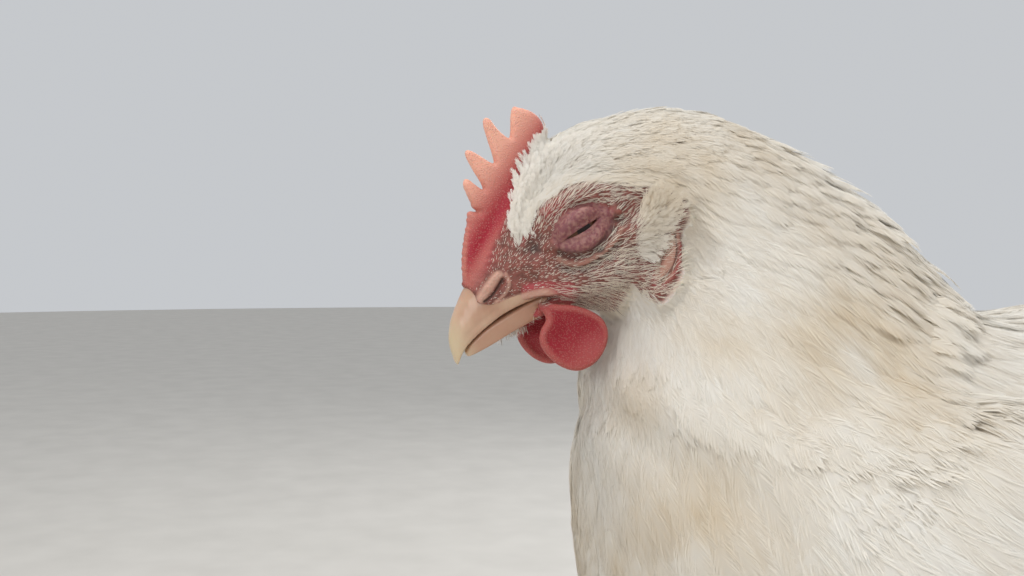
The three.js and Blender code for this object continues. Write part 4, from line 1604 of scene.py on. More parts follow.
    def write(self, piece: bpy.types.Object, points: Array, leg: Array) -> None:
        """Stores every marking on the skin.

        Args:
            piece: The skin.
            points: Its vertices.
            leg: 1 for each vertex of a leg.
        """
        local = self.shape.axes.into(points)
        close = np.linalg.norm(points - self.shape.centre, axis=1) < 60
        mark(piece, "leg", leg)
        mark(piece, "warm", self.warm(points))
        for name in ("lids", "flesh", "rim", "pale", "crease_shade", "groove_shade_and_wattle_tone", "flush", "down"):
            values = np.zeros(len(points)) if name != "down" else 1.0 - leg
            values[close] = getattr(self, name)(local[close])
            mark(piece, name, values)


# ---------------------------------------------------------------- feathers
@dataclass(frozen=True)
class Lie:
    """How the feathers lie and how large they are, at places over one side of the bird.

    Each row is a place (aside, forward, up), a direction (the same), then the feathers' length,
    width and spacing.
    """

    rows: Path = (
        (5, 123, 301, 0, 0.15, 1, 4.4, 1.4, 0.85), (4, 118.5, 314, 0, 0.05, 1, 4.8, 1.5, 0.85),
        (3, 114, 322, 0, -0.25, 1, 5.2, 1.6, 0.95), (9, 116, 309, 0.1, -0.5, 0.8, 4.6, 1.6, 0.95),
        (13, 106, 314, 0.1, -0.95, 0.35, 5.2, 1.8, 1.0), (17, 97, 314, 0.1, -0.96, -0.25, 6.2, 1.8, 1.1),
        (0, 107, 329, 0, -0.85, 0.5, 6.5, 2.0, 1.15), (0, 98, 333, 0, -1, 0.15, 8, 2.3, 1.3),
        (12, 92, 322, 0.1, -1, -0.1, 8.5, 2.5, 1.4), (24, 84, 311, 0.15, -0.85, -0.5, 9, 2.5, 1.5),
        (0, 85, 337, 0, -1, -0.1, 11, 3.0, 1.7), (0, 60, 334, 0, -0.9, -0.4, 18, 4.0, 2.3),
        (22, 82, 300, 0.3, -0.75, -0.55, 10, 2.6, 1.5), (25, 70, 312, 0.15, -0.75, -0.6, 16, 3.6, 2.1),
        (0, 35, 323, 0, -0.8, -0.6, 26, 5.0, 3.0), (0, 10, 303, 0, -0.7, -0.7, 36, 6.0, 3.9),
        (0, -8, 287, 0, -0.95, -0.2, 34, 9, 5.0), (40, 60, 285, 0.3, -0.6, -0.75, 26, 4.8, 3.0),
        (50, 40, 292, 0.3, -0.65, -0.7, 32, 5.6, 3.6), (62, 52, 262, 0.3, -0.55, -0.8, 36, 6.0, 3.9),
        (45, 88, 266, 0.35, -0.35, -0.85, 25, 4.8, 3.0), (16, 98, 284, 0.15, -0.5, -0.85, 9, 2.6, 1.6),
        (8, 97, 275, 0.1, -0.1, -1, 12, 3.4, 2.0), (26, 102, 271, 0.3, -0.3, -0.9, 16, 4.0, 2.3),
        (0, 103, 255, 0, 0, -1, 20, 7, 3.6), (30, 98, 250, 0.25, -0.25, -0.95, 23, 8, 4.0),
        (50, 85, 235, 0.3, -0.45, -0.85, 25, 9, 4.4), (0, 95, 190, 0, -0.25, -0.95, 27, 12, 5.4),
        (40, 80, 180, 0.1, -0.45, -0.85, 28, 12, 5.6), (0, 40, 122, 0, -1, -0.1, 30, 13, 6.4),
        (0, -40, 118, 0, -1, 0.15, 32, 13, 6.6), (75, 30, 150, 0, -0.95, -0.2, 28, 12, 6.4),
        (70, -40, 150, 0, -0.9, -0.3, 30, 12, 6.4), (50, -24, 140, 0, -0.5, -0.85, 22, 8, 4.6),
        (45, -32, 112, 0, -0.25, -1, 14, 5, 3.0), (0, -120, 165, 0, -0.8, 0.5, 32, 12, 6.0),
        (0, -50, 286, 0, -1, 0.05, 36, 13, 6.6), (40, -50, 282, 0.1, -1, -0.1, 36, 13, 6.6),
        (0, -120, 298, 0, -1, 0.2, 42, 10, 5.8), (35, -110, 280, 0.15, -0.9, -0.4, 40, 10, 5.8),
        (12, -150, 300, 0, -0.88, 0.48, 44, 12, 6.4), (18, -150, 262, 0, -0.96, 0.28, 40, 12, 6.4),
        (6, -185, 312, 0, -0.85, 0.52, 46, 13, 7.0), (6, -185, 265, 0, -0.97, 0.22, 40, 12, 6.6),
        (84, 30, 210, 0, -0.97, -0.15, 20, 12, 6.4), (84, -10, 230, 0, -0.98, -0.1, 22, 13, 6.8),
        (80, -60, 235, 0, -1, 0.0, 28, 14, 7.4), (60, -100, 255, 0, -1, 0.15, 34, 14, 7.6),
    )  # fmt: skip

    def read(self, points: Array) -> tuple[Array, Array, Array, Array]:
        """Returns the direction, length, width and spacing of feathers at points of the frame.

        Args:
            points: Places in the frame, in millimetres, one a row.
        """
        rows = np.array(self.rows, float)
        places = np.column_stack([rows[:, 0], MIDDLE - rows[:, 1], rows[:, 2]])
        weight = pull(np.linalg.norm(folded(points)[:, None] - places[None], axis=2), 1.5)
        way = weight @ np.column_stack([rows[:, 3], -rows[:, 4], rows[:, 5]])
        way[:, 0] *= np.sign(points[:, 0]) * ramp(np.abs(points[:, 0]), 0.0, 6.0)
        sizes = np.exp(weight @ np.log(rows[:, 6:9]))
        return unit(way), sizes[:, 0], sizes[:, 1], sizes[:, 2]


@dataclass(frozen=True)
class FaceLie:
    """How the bristles of the bare face lie.

    Each row is forward, up, the direction (the same), then length and spacing.
    """

    rows: Path = (
        (26, 4, -0.5, 0.85, 0.5, 0.75), (22, 8, -0.6, 0.8, 0.6, 0.8), (17, 5, -0.8, 0.6, 0.9, 0.6),
        (14, 11, -0.6, 0.8, 2.0, 0.6), (20, -4.5, -0.9, -0.2, 0.6, 0.55), (14, -3, -1, -0.1, 0.8, 0.55),
        (11, 2, -1, 0.3, 1.0, 0.6), (12, 7, -0.7, 0.7, 1.8, 0.55), (8, 7.6, -0.8, 0.6, 1.9, 0.5),
        (2, 8.4, -0.95, 0.35, 2.3, 0.5), (-4, 8.2, -1, 0.1, 2.5, 0.5), (-10, 6, -1, -0.3, 2.6, 0.55),
        (-15, 2, -0.9, -0.5, 2.6, 0.6), (7, 0, -1, 0.2, 0.5, 1.4), (8, -7, -0.95, -0.2, 1.5, 0.5),
        (2, -10.5, -0.95, -0.25, 2.4, 0.5), (-4, -10.5, -0.95, -0.25, 3.2, 0.5),
        (-8, -6, -0.95, 0.1, 2.4, 0.6), (-10, -1, -1, 0.3, 2.2, 0.65), (-11, -14, -0.9, -0.4, 3.6, 0.55),
        (-5, -17, -0.92, -0.35, 4.4, 0.55), (2, -15, -0.95, -0.25, 3.8, 0.5),
        (9, -14, -0.95, -0.3, 2.4, 0.5), (5, -18.5, -0.8, -0.6, 4.6, 0.6), (15, -14, -0.8, -0.6, 1.2, 0.7),
        (21, -14.5, -0.4, -0.9, 1.6, 0.9),
    )  # fmt: skip

    def read(self, local: Array) -> tuple[Array, Array, Array]:
        """Returns the direction, in the head's axes, the length and the spacing at points of the head.

        Args:
            local: Points in the head's axes, one a row.
        """
        rows = np.array(self.rows, float)
        weight = pull(np.linalg.norm(local[:, None, 1:] - rows[None, :, :2], axis=2), 0.8)
        flat = weight @ rows[:, 2:4]
        sizes = np.exp(weight @ np.log(rows[:, 4:6]))
        return np.column_stack([0.05 * np.sign(local[:, 0]), flat]), sizes[:, 0], sizes[:, 1]


@dataclass(frozen=True)
class Plume:
    """How one kind of feather is built."""

    barbs: int  # on each side
    barb: float  # width of a barb
    bends: int = 6  # stretches of its shaft
    sheet: float = 0.0  # width of the closed web under the barbs, as a share of the feather
    point: float = 0.55  # share of its length where it starts to narrow
    angle: tuple[float, float] = (36.0, 12.0)  # of the barbs from the shaft, at its root and tip
    loose: float = 0.35  # how far barbs stray, in millimetres
    over: float = 1.14  # how far past its tip the barbs reach, as a share of its length

    @property
    def stiff(self) -> bool:
        """Whether its barbs end with the shaft, so that its web does too."""
        return self.over < 1.1


@dataclass
class Tufts:
    """Feathers as lines over the skin: places, directions aside and outward along each."""

    line: Array  # feathers, bends + 2, 3
    aside: Array
    above: Array
    length: Array
    width: Array
    tone: Array
    roots: Array


def wound(points: Array, faces: list[Array], facing: Array) -> list[Array]:
    """Returns faces turned over where their fronts point against the way that their corners face.

    Args:
        points: Places in the frame, in millimetres, one a row.
        faces: Faces, one a row.
        facing: The way that each point faces.
    """
    turned = []
    for rows in faces:
        a, b, c = (points[rows[:, i]] for i in range(3))
        away = (np.cross(b - a, c - a) * facing[rows].sum(axis=1)).sum(axis=1) < 0
        turned.append(np.where(away[:, None], rows[:, ::-1], rows))
    return turned


class Plumage:
    """Grows feathers over the skin and makes them into meshes."""

    MOST = 190_000  # triangles in one piece
    SPOTS = 420_000  # places tried for feathers
    FACE_SPOTS = 150_000
    EAR_SPOTS = 60_000
    FACE_REACH = 44.0  # how far from the middle of the head the bare face goes
    LEAN = 0.25  # how far the edges of a barb face away from its middle
    CAMBER = 0.16  # how much a feather's edges droop
    OWN = 0.6  # share of a barb's shade that its feather has
    BED = 0.2  # how far the web lies under the barbs, in millimetres
    STEP_UP = 1.12  # ratio of one spacing of feathers to the next

    def __init__(self, shape: SkinShape, lie: Lie, points: Array, quads: Array) -> None:
        """Keeps the skin to grow on.

        Args:
            shape: The skin's shape.
            lie: How the feathers lie.
            points: Places in the frame, in millimetres, one a row.
            quads: Quads, one a row.
        """
        self.shape, self.lie, self.volume, self.axes = shape, lie, shape.volume, shape.axes
        self.corners = corners = points[quads]
        across, down = corners[:, 2] - corners[:, 0], corners[:, 3] - corners[:, 1]
        self.areas = 0.5 * np.linalg.norm(np.cross(across, down), axis=1)
        self.random = np.random.default_rng(7)
        self.made: list[bpy.types.Object] = []

    def scatter(self, count: int, weight: Array | None = None) -> Array:
        """Returns places spread at random over the skin.

        Args:
            count: How many.
            weight: How many each face gets, as a share.
        """
        share = self.areas if weight is None else self.areas * weight
        chosen = self.random.choice(len(self.areas), count, p=share / share.sum())
        u, v = self.random.random((2, count, 1))
        a, b, c, d = (self.corners[chosen, i] for i in range(4))
        return (a * (1 - u) + b * u) * (1 - v) + (d * (1 - u) + c * u) * v

    def scatter_face(self, count: int) -> tuple[Array, Array]:
        """Returns places spread at random over the head, in the frame and in the head's axes."""
        close = np.linalg.norm(self.corners.mean(1) - self.shape.centre, axis=1) < self.FACE_REACH
        roots = self.scatter(count, close * 1.0)
        return roots, self.axes.into(roots)

    def thinned(self, points: Array, spacing: Array) -> Array:
        """Returns which places to keep so that they lie about a spacing apart.

        Args:
            points: Places in the frame, in millimetres, one a row.
            spacing: The spacing at each place, in millimetres.
        """
        level = np.floor(np.log(spacing) / math.log(self.STEP_UP)).astype(int)
        size = self.STEP_UP ** (level + 0.5)
        jitter = np.floor(points / size[:, None]).astype(np.int64)
        key = ((level * 4001 + jitter[:, 0]) * 4001 + jitter[:, 1]) * 4001 + jitter[:, 2]
        return np.unique(key, return_index=True)[1]

    def feathered(self, points: Array) -> Array:
        """Returns which places grow feathers, not bristles, horn or flesh.

        Args:
            points: Places in the frame, in millimetres, one a row.
        """
        local = self.axes.into(points)
        side = np.abs(local[:, 0])
        near = (local[:, 1] > -30) & (local[:, 2] > -33)
        stray = 0.9 * cloud(points, 1.6, 3)
        bare = near & (self.shape.bare(local[:, 1:]) + stray < 0.3)
        front = (local[:, 1] > 12) & (local[:, 2] > -16.5) & (local[:, 2] < 2)
        wattle = (side > 6) & (local[:, 1] > 4.4) & (local[:, 2] < -14.5) & (local[:, 2] > -33)
        forward = MIDDLE - points[:, 1]
        low = points[:, 2] < 188 + 0.62 * (26 - forward)
        flight = (self.volume.read(points, self.shape.wing) < -0.3) & low
        return ~(bare | wattle | front | flight) & (points[:, 2] > 96)

    def cape(self, roots: Array, length: Array) -> tuple[Array, Array]:
        """Ends the neck's feathers in a ragged line at the crease, and sets their tips a little lower near
        it.

        Args:
            roots: Where feathers grow.
            length: Their lengths.

        Returns:
            The new lengths, and the share of its height at which each tip stands.
        """
        line = np.array(self.shape.coat.crease)
        line = line[np.argsort(line[:, 1])]
        ways = self.lie.read(roots)[0]
        forward, up = MIDDLE - roots[:, 1], roots[:, 2]
        above = up - np.interp(forward, line[:, 1], line[:, 2])
        ends = up + ways[:, 2] * length - np.interp(forward - ways[:, 1] * length, line[:, 1], line[:, 2])
        near = (np.abs(roots[:, 0]) > 14) & (forward > 16) & (forward < 108)
        over = near & (above > 2) & (ends < 0)
        share = np.where(over, above / np.maximum(above - ends, 1.0), 1.0)
        share = share * self.random.uniform(1.0, 2.2, len(roots)) + 0.15
        close = near * ramp(np.abs(ends), 9.0, 2.0) * (above > 2)
        return length * np.where(over, np.clip(share, 0.55, 1.0), 1.0), 1.0 - 0.12 * close

    def depth(self, points: Array) -> Array:
        """Returns how deep the coat is at places."""
        deep = self.shape.coat.depth(points, self.axes)
        return 0.5 + (deep - 0.5) * self.shape.covered(self.axes.into(points))

    def trace(self, roots: Array, plume: Plume, length: Array, width: Array, way: Array | None = None,
              turn: float = 0.07, lift: Array | float = 1.0, deep: Array | None = None,
              free: bool = False) -> Tufts:
        """Runs each feather's shaft over the skin from its root.

        Args:
            roots: Places on the skin.
            plume: The kind of feather.
            length: Their lengths.
            width: Their widths.
            way: Their directions, or none to follow the lie.
            turn: How far they stray from it, in radians.
            lift: Height of their tips, as a share of the coat's depth.
            deep: The coat's depth, or none to work it out.
            free: Whether they run straight on where the skin falls away.
        """
        count = len(roots)
        stray = self.random.normal(0, turn, count)[:, None]
        deep = (self.depth(roots) if deep is None else deep) * lift * self.random.normal(1.0, 0.05, count)
        place = roots.copy()
        line, aside, above = [], [], []
        for k in range(plume.bends + 1):
            share = k / plume.bends
            out = self.volume.outward(place)
            lie = self.lie.read(place)[0] if way is None else way
            flat = unit(lie - (lie * out).sum(1, keepdims=True) * out)
            cross = np.cross(out, flat)
            ahead = unit((lie if free else flat) * np.cos(stray) + cross * np.sin(stray))
            height = deep * (0.12 + 0.88 * (1 - (1 - share) ** 2.7))
            push = height - self.volume.read(place)
            push = np.maximum(push, 0.0) if free and k else push
            place = place + out * push[:, None]
            line.append(place)
            aside.append(unit(np.cross(out, ahead)))
            above.append(out)
            place = place + ahead * (length / plume.bends)[:, None]
        line, aside, above = (np.stack(rows, axis=1) for rows in (line, aside, above))
        last = line[:, -1:] + (line[:, -1:] - line[:, -2:-1])
        line = np.concatenate([line, last], axis=1)
        aside, above = (np.concatenate([rows, rows[:, -1:]], axis=1) for rows in (aside, above))
        above = unit(np.cross(unit(np.gradient(line, axis=1)), aside))
        return Tufts(line, aside, above, length, width, self.random.random(count), roots)

    def outline(self, share: Array, plume: Plume) -> Array:
        """Returns a feather's half width at shares of its length, as a share of its width."""
        rise = 0.35 + 0.65 * ramp(share, -0.1, 0.5)
        fall = np.clip((share - plume.point) / (1.02 - plume.point), 0, 1)
        return 0.5 * rise * np.sqrt(1 - fall**2)

    def place(self, tufts: Tufts, plume: Plume, share: Array, across: Array, rise: Array) -> Array:
        """Returns points of the frame for places on feathers.

        Args:
            tufts: The feathers.
            plume: Their kind.
            share: How far along the shaft, one row a feather.
            across: How far from the shaft, in millimetres.
            rise: How far above it.
        """
        spot = np.clip(share * plume.bends, 0, plume.bends + 0.999)
        first = spot.astype(int)
        part = (spot - first)[..., None]
        row = np.arange(len(share)).reshape(-1, *([1] * (share.ndim - 1)))
        line, aside, above = (
            rows[row, first] * (1 - part) + rows[row, first + 1] * part
            for rows in (tufts.line, tufts.aside, tufts.above)
        )
        return line + aside * across[..., None] + above * rise[..., None]

    def barbs(self, tufts: Tufts, plume: Plume) -> tuple[list[Array], list[Array], dict[str, Array]]:
        """Makes the barbs of every feather, each a narrow ribbon that ends in a point.

        Args:
            tufts: The feathers' lines.
            plume: What kind of feather it is.
        """
        count, each = len(tufts.length), plume.barbs
        random = self.random
        start = (np.arange(each) + 0.5) / each
        start = 0.1 + 0.9 * np.tile(start, 2)[None] + random.normal(0, 0.25 / each, (count, 2 * each))
        start = np.clip(start, 0.02, 1.0)
        sign = np.repeat([1.0, -1.0], each)[None]
        half = self.outline(start, plume) * tufts.width[:, None]
        angle = np.radians(plume.angle[0] + (plume.angle[1] - plume.angle[0]) * start)
        reach = (half + 0.6 * plume.barb) / np.tan(angle) / tufts.length[:, None]
        reach = np.minimum(reach, 0.42 * (1 + 0.2 * random.random(start.shape)))
        ends = np.minimum(start + reach, plume.over)
        ragged = min(2.2 * plume.loose, 0.7)
        half = self.outline(np.minimum(0.5 * (start + ends), 1.0), plume) * tufts.width[:, None]
        half *= 1 + ragged * random.uniform(-0.35, 0.18, start.shape)
        shares = start[..., None] + (ends - start)[..., None] * np.array([0.0, 0.45, 1.0])
        across = (sign * half)[..., None] * np.array([0.0, 0.6, 1.0])
        across[..., 1:] += random.normal(0, plume.loose, (*start.shape, 2)) * np.array([0.5, 1.0])
        camber = self.CAMBER * np.abs(across) ** 1.5 / np.sqrt(np.maximum(tufts.width, 1.0))[:, None, None]
        stray = random.normal(0, 0.3 * plume.loose, start.shape)[..., None]
        rise = -camber + stray * np.array([0.1, 0.6, 1.0])
        spots = self.place(tufts, plume, shares, across, rise)
        way = unit(spots[:, :, 2] - spots[:, :, 0])
        row = np.arange(count)[:, None]
        level = np.clip((shares * plume.bends).astype(int), 0, plume.bends)
        edge = unit(np.cross(tufts.above[row, level[:, :, 1]], way))
        wide = 0.5 * plume.barb * random.uniform(0.75, 1.2, start.shape)[..., None] * edge
        corners = [spots[:, :, 0], spots[:, :, 1] - wide, spots[:, :, 1] + wide, spots[:, :, 2]]
        points = np.stack(corners, axis=2).reshape(-1, 3)
        tone = np.repeat(tufts.tone[:, None] * self.OWN + (1 - self.OWN) * random.random(start.shape), 4)
        order = [0, 1, 1, 2]
        out = tufts.above[row[..., None], level[:, :, order]]
        lean = edge[:, :, None] * np.array([0.0, -1.0, 1.0, 0.0])[:, None]
        facing = unit(out + self.LEAN * lean).reshape(-1, 3)
        first = np.arange(count * 2 * each)[:, None] * 4
        triangles = np.vstack([first + [0, 2, 1], first + [2, 3, 1]])
        return points, [triangles], {"tone": tone, "along": shares[:, :, order].ravel(), "facing": facing}

    def webs(self, tufts: Tufts, plume: Plume) -> tuple[Array, list[Array], dict[str, Array]]:
        """Makes the closed web under the barbs of every feather.

        Args:
            tufts: The feathers' lines.
            plume: What kind of feather it is.
        """
        count = len(tufts.length)
        share = np.linspace(0.08, 1.0 if plume.stiff else 0.96, plume.bends + 1)
        half = self.outline(share, plume) * plume.sheet
        share = np.repeat(share[None], count, 0)
        across = half[None] * tufts.width[:, None]
        columns = np.stack([-across, 0 * across, across], axis=2)
        shares = np.repeat(share[:, :, None], 3, axis=2)
        rise = -self.CAMBER * np.abs(columns) ** 1.5 / np.sqrt(tufts.width)[:, None, None] - self.BED
        points = self.place(tufts, plume, shares, columns, rise).reshape(-1, 3)
        cell = np.arange(plume.bends)[:, None] * 3 + np.arange(2)[None]
        quad = np.stack([cell, cell + 1, cell + 4, cell + 3], axis=-1).reshape(-1, 4)
        each = 3 * (plume.bends + 1)
        quads = (np.arange(count)[:, None, None] * each + quad[None]).reshape(-1, 4)
        notes = {"tone": np.repeat(tufts.tone * self.OWN + 0.2, each), "along": shares.ravel()}
        level = np.clip((shares * plume.bends).astype(int), 0, plume.bends)
        notes["facing"] = tufts.above[np.arange(count)[:, None, None], level].reshape(-1, 3)
        return points, [quads], notes

    def piece(self, name: str, tufts: Tufts, plume: Plume) -> None:
        """Makes feathers into as many pieces as the limit of triangles needs.

        Args:
            name: Its name.
            tufts: The feathers' lines.
            plume: What kind of feather it is.
        """
        each = 4 * plume.barbs + (4 * plume.bends if plume.sheet else 0)
        parts = math.ceil(len(tufts.length) * each / self.MOST)
        order = np.argsort(tufts.roots[:, 1])
        for i, chosen in enumerate(np.array_split(order, parts)):
            some = Tufts(*(getattr(tufts, key)[chosen] for key in tufts.__dataclass_fields__))
            points, faces, notes = self.barbs(some, plume)
            patch = np.repeat(np.arange(len(chosen)), len(points) // len(chosen))
            if plume.sheet:
                more, quads, other = self.webs(some, plume)
                faces = [*faces, quads[0] + len(points)]
                patch = np.concatenate([patch, np.repeat(np.arange(len(chosen)), len(more) // len(chosen))])
                points = np.vstack([points, more])
                notes = {key: np.concatenate([value, other[key]]) for key, value in notes.items()}
            faces = wound(points, faces, notes["facing"])
            made = mesh_object(f"{name}_{i + 1}" if parts > 1 else name, points, faces)
            self.note(made, points, notes)
            self.map(made, some.roots[patch], notes["along"], notes["tone"])
            self.made.append(made)
            log.info("%s: %d feathers, %d triangles", made.name, len(chosen), len(chosen) * each)

    @staticmethod
    def note(piece: bpy.types.Object, points: Array, notes: dict[str, Array], warm: float = 0.0) -> None:
        """Stores each barb's shade, and the soft direction that it faces.

        Args:
            piece: The piece.
            points: Places in the frame, in millimetres, one a row.
            notes: Each vertex's tone and share of its feather's length.
            warm: The least warmth.
        """
        facing = piece.data.attributes.new("custom_normal", "FLOAT_VECTOR", "POINT")
        facing.data.foreach_set("vector", notes["facing"].astype(np.float32).ravel())
        mark(piece, "tone", notes["tone"])
        mark(piece, "along", notes["along"])
        mark(piece, "warm", np.maximum(Marks.warm(points), warm))

    def map(self, piece: bpy.types.Object, roots: Array, along_share: Array, tone: Array) -> None:
        """Gives every feather a small patch of the map at its root's place on the unrolled skin.

        Args:
            piece: The piece.
            roots: The root of each vertex's feather.
            along_share: The share of that feather's length at each vertex.
            tone: Its shade.
        """
        arm = roots - self.shape.centre
        head = np.linalg.norm(arm, axis=1) < 46
        turn = np.arctan2(arm[:, 0], -arm[:, 1]) / (2 * math.pi) + 0.5
        tilt = np.arctan2(arm[:, 2], np.hypot(arm[:, 0], arm[:, 1])) / math.pi + 0.5
        round_body = np.arctan2(roots[:, 0], roots[:, 2] - 200.0) / (2 * math.pi) + 0.5
        length = (roots[:, 1] + 200.0) / 400.0
        u = np.where(head, 0.02 + 0.4 * turn, 0.46 + 0.5 * round_body)
        v = np.where(head, 0.02 + 0.9 * tilt, 0.02 + 0.94 * length)
        u += (tone - 0.5) * PATCH * 0.9
        v += (np.clip(along_share, 0, 1.1) / 1.1 - 0.5) * PATCH * 0.9
        layer = piece.data.uv_layers.new(name=MAP_NAME)
        corner = np.zeros(len(piece.data.loops), np.int32)
        piece.data.loops.foreach_get("vertex_index", corner)
        layer.data.foreach_set("uv", np.column_stack([u, v])[corner].astype(np.float32).ravel())

    def bristles(self, name: str, roots: Array, way: Array, length: Array, width: float, lift: float,
                 out: Array | None = None, warm: float = 0.0) -> None:
        """Makes single stiff barbs that stand off the skin.

        Args:
            name: The piece's name.
            roots: Where they stand.
            way: The direction each leans over the skin.
            length: Their lengths.
            width: Width of one at its middle.
            lift: Sine of their angle from the skin.
            out: The direction away from the skin, or none to work it out.
            warm: How buff they are at least.
        """
        count, random = len(roots), self.random
        out = self.volume.outward(roots) if out is None else out
        flat = unit(way - (way * out).sum(1, keepdims=True) * out + random.normal(0, 0.16, (count, 3)))
        rise = np.clip(lift * random.normal(1.0, 0.25, count), 0.02, 0.95)[:, None]
        ahead = unit(flat * np.sqrt(1 - rise**2) + out * rise)
        long = (length * random.uniform(0.7, 1.25, count))[:, None]
        base = roots - out * 0.12
        middle = base + ahead * long * 0.5
        tip = base + ahead * long - out * long * rise * 0.25
        edge = unit(np.cross(out, ahead)) * width * random.uniform(0.7, 1.25, (count, 1)) * 0.5
        corners = [base - edge * 0.8, base + edge * 0.8, middle - edge, middle + edge, tip]
        points = np.stack(corners, axis=1).reshape(-1, 3)
        first = np.arange(count)[:, None] * 5
        facing = np.repeat(out, 5, axis=0)
        piece = mesh_object(name, points, wound(points, [first + [0, 1, 3, 2], first + [2, 3, 4]], facing))
        tone = np.repeat(random.random(count), 5)
        share = np.tile([0.0, 0.0, 0.5, 0.5, 1.0], count)
        self.note(piece, np.repeat(roots, 5, axis=0), {"tone": tone, "along": share, "facing": facing}, warm)
        self.map(piece, np.repeat(roots, 5, axis=0), share, tone)
        self.made.append(piece)
        log.info("%s: %d bristles", name, count)

    def face(self, marks: Marks) -> None:
        """Grows stubs, bristles and whiskers on the bare face, and the ear's tufts.

        Args:
            marks: The marks of the skin.
        """
        roots, local = self.scatter_face(self.FACE_SPOTS)
        side = np.abs(local[:, 0])
        edge = np.where(local[:, 1] < -12, 0.2, 1.5)
        kept = (self.shape.bare(local[:, 1:]) < edge) & (side > 1.0)
        kept &= (local[:, 1] < 29) & (local[:, 2] > -23)
        kept &= ~((self.shape.blade(local[:, 1:]) < 0.6) & (side < 4.4))
        roots, local = roots[kept], local[kept]
        clear = np.maximum.reduce([made(local) for made in (marks.lids, marks.flesh, marks.pale, marks.groove_shade_and_wattle_tone)])
        way, length, spacing = FaceLie().read(local)
        kept = self.thinned(roots, 1.22 * spacing)
        kept = kept[clear[kept] < self.random.random(len(kept)) * 0.5 + 0.15]
        ahead = way[kept] @ self.axes.rows()
        self.bristles("face_bristles", roots[kept], ahead, 1.3 * length[kept], 0.14, 0.3, warm=0.3)
        self.ears()
        self.chin()
        self.crest()

    def crest(self) -> None:
        """Grows the spiky feathers that stand up beside the comb."""
        rows = (  # forward, up and how far they lean forward
            (14.0, 5.0, -0.1), (12.2, 7.9, -0.16), (9.8, 11.0, -0.2), (7.0, 13.4, -0.24),
            (2.4, 16.4, -0.32), (-1.6, 18.5, -0.42), (-4.0, 19.5, -0.5), (-7.0, 20.4, -0.6),
            (-11.0, 19.6, -0.7), (-17.0, 17.6, -0.85),
        )  # fmt: skip
        edge = np.repeat(along(rows, 90), 12, axis=0)
        count = len(edge)
        back = self.random.uniform(-0.4, 3.4, count)[:, None] * [-0.866, -0.5]
        spots = edge[:, :2] + back + self.random.normal(0, 0.35, (count, 2))
        near = self.random.uniform(1.0, 6.0, count)
        aside = np.where(spots[:, 0] < -6, near, np.maximum(self.shape.side(spots), 2.6))
        local = np.column_stack([aside * np.where(np.arange(count) % 2, 1, -1), spots])
        roots = self.volume.onto(self.axes.out(local), 3)
        lean = edge[:, 2] + self.random.normal(0, 0.12, count)
        flat = np.column_stack([0.08 * np.sign(local[:, 0]), lean, 0.95 + 0 * aside])
        length = self.random.uniform(3.0, 5.2, count) * (0.75 + 0.25 * ramp(edge[:, 0], 14, 9))
        plume = Plume(7, 0.24, 4, loose=0.16, point=0.35, angle=(14, 5))
        way, deep = flat @ self.axes.rows(), np.full(count, 0.7)
        tufts = self.trace(roots, plume, length, np.full(count, 1.3), way, 0.16, deep=deep)
        stand = self.random.uniform(0.2, 1.4, count) * (1 - 0.4 * (edge[:, 0] < -6))
        self.raise_tips(tufts, tufts.above[:, :1], stand, 1.4)
        self.piece("crest_tufts", tufts, plume)

    @staticmethod
    def raise_tips(tufts: Tufts, way: Array, height: Array, power: float) -> None:
        """Bends feathers up along their length, their tips by a height in millimetres."""
        rise = np.linspace(0, 1, tufts.line.shape[1])[None, :, None] ** power
        tufts.line += rise * height[:, None, None] * way

    def ears(self) -> None:
        """Grows a tuft of stiff feathers over each ear."""
        roots, local = self.scatter_face(self.EAR_SPOTS)
        axis = np.array([(-9.2, -10.4), (-10.9, -8.4), (-13.2, -6.4), (-15.6, -5.2)])
        gap, share = near_path(local[:, 1:], axis)
        inside = (gap < 1.8 + 1.0 * share) & (np.abs(local[:, 0]) > 9)
        roots, local, share = roots[inside], local[inside], share[inside]
        kept = self.thinned(roots, np.full(len(roots), 0.56))
        roots, local, share = roots[kept], local[kept], share[kept]
        lean = 0.12 * (local[:, 2] + 8.2) - 0.05
        flat = np.column_stack([0.28 * np.sign(local[:, 0]), -0.9 + 0 * share, lean])
        length = 4.6 + 0.9 * share + self.random.normal(0, 0.4, len(share))
        plume = Plume(7, 0.2, 4, loose=0.16, point=0.4, angle=(14, 5))
        tufts = self.trace(roots, plume, length, np.full(len(share), 1.2), flat @ self.axes.rows(), 0.14)
        self.raise_tips(tufts, self.volume.outward(roots)[:, None], 2.8 + 1.6 * share, 1.3)
        self.piece("ear_tufts", tufts, plume)

    def chin(self) -> None:
        """Hangs short white bristles under the lower bill."""
        random, count = self.random, 170
        forward, across = random.uniform(21.0, 28.4, count), random.uniform(-4.0, 4.0, count)
        local = np.column_stack([across, forward, -14.5 - 0.2 * (28.0 - forward) + 0.15 * np.abs(across)])
        roots = self.axes.out(local)
        way = np.array([0.0, 0.4, -0.9]) + random.normal(0, 0.14, (count, 3))
        length = random.uniform(1.6, 3.6, count)
        out = np.repeat(np.array([[0.0, 0.2, -0.97]]), count, axis=0) @ self.axes.rows()
        self.bristles("chin_bristles", roots, way @ self.axes.rows(), length, 0.16, 0.85, out)

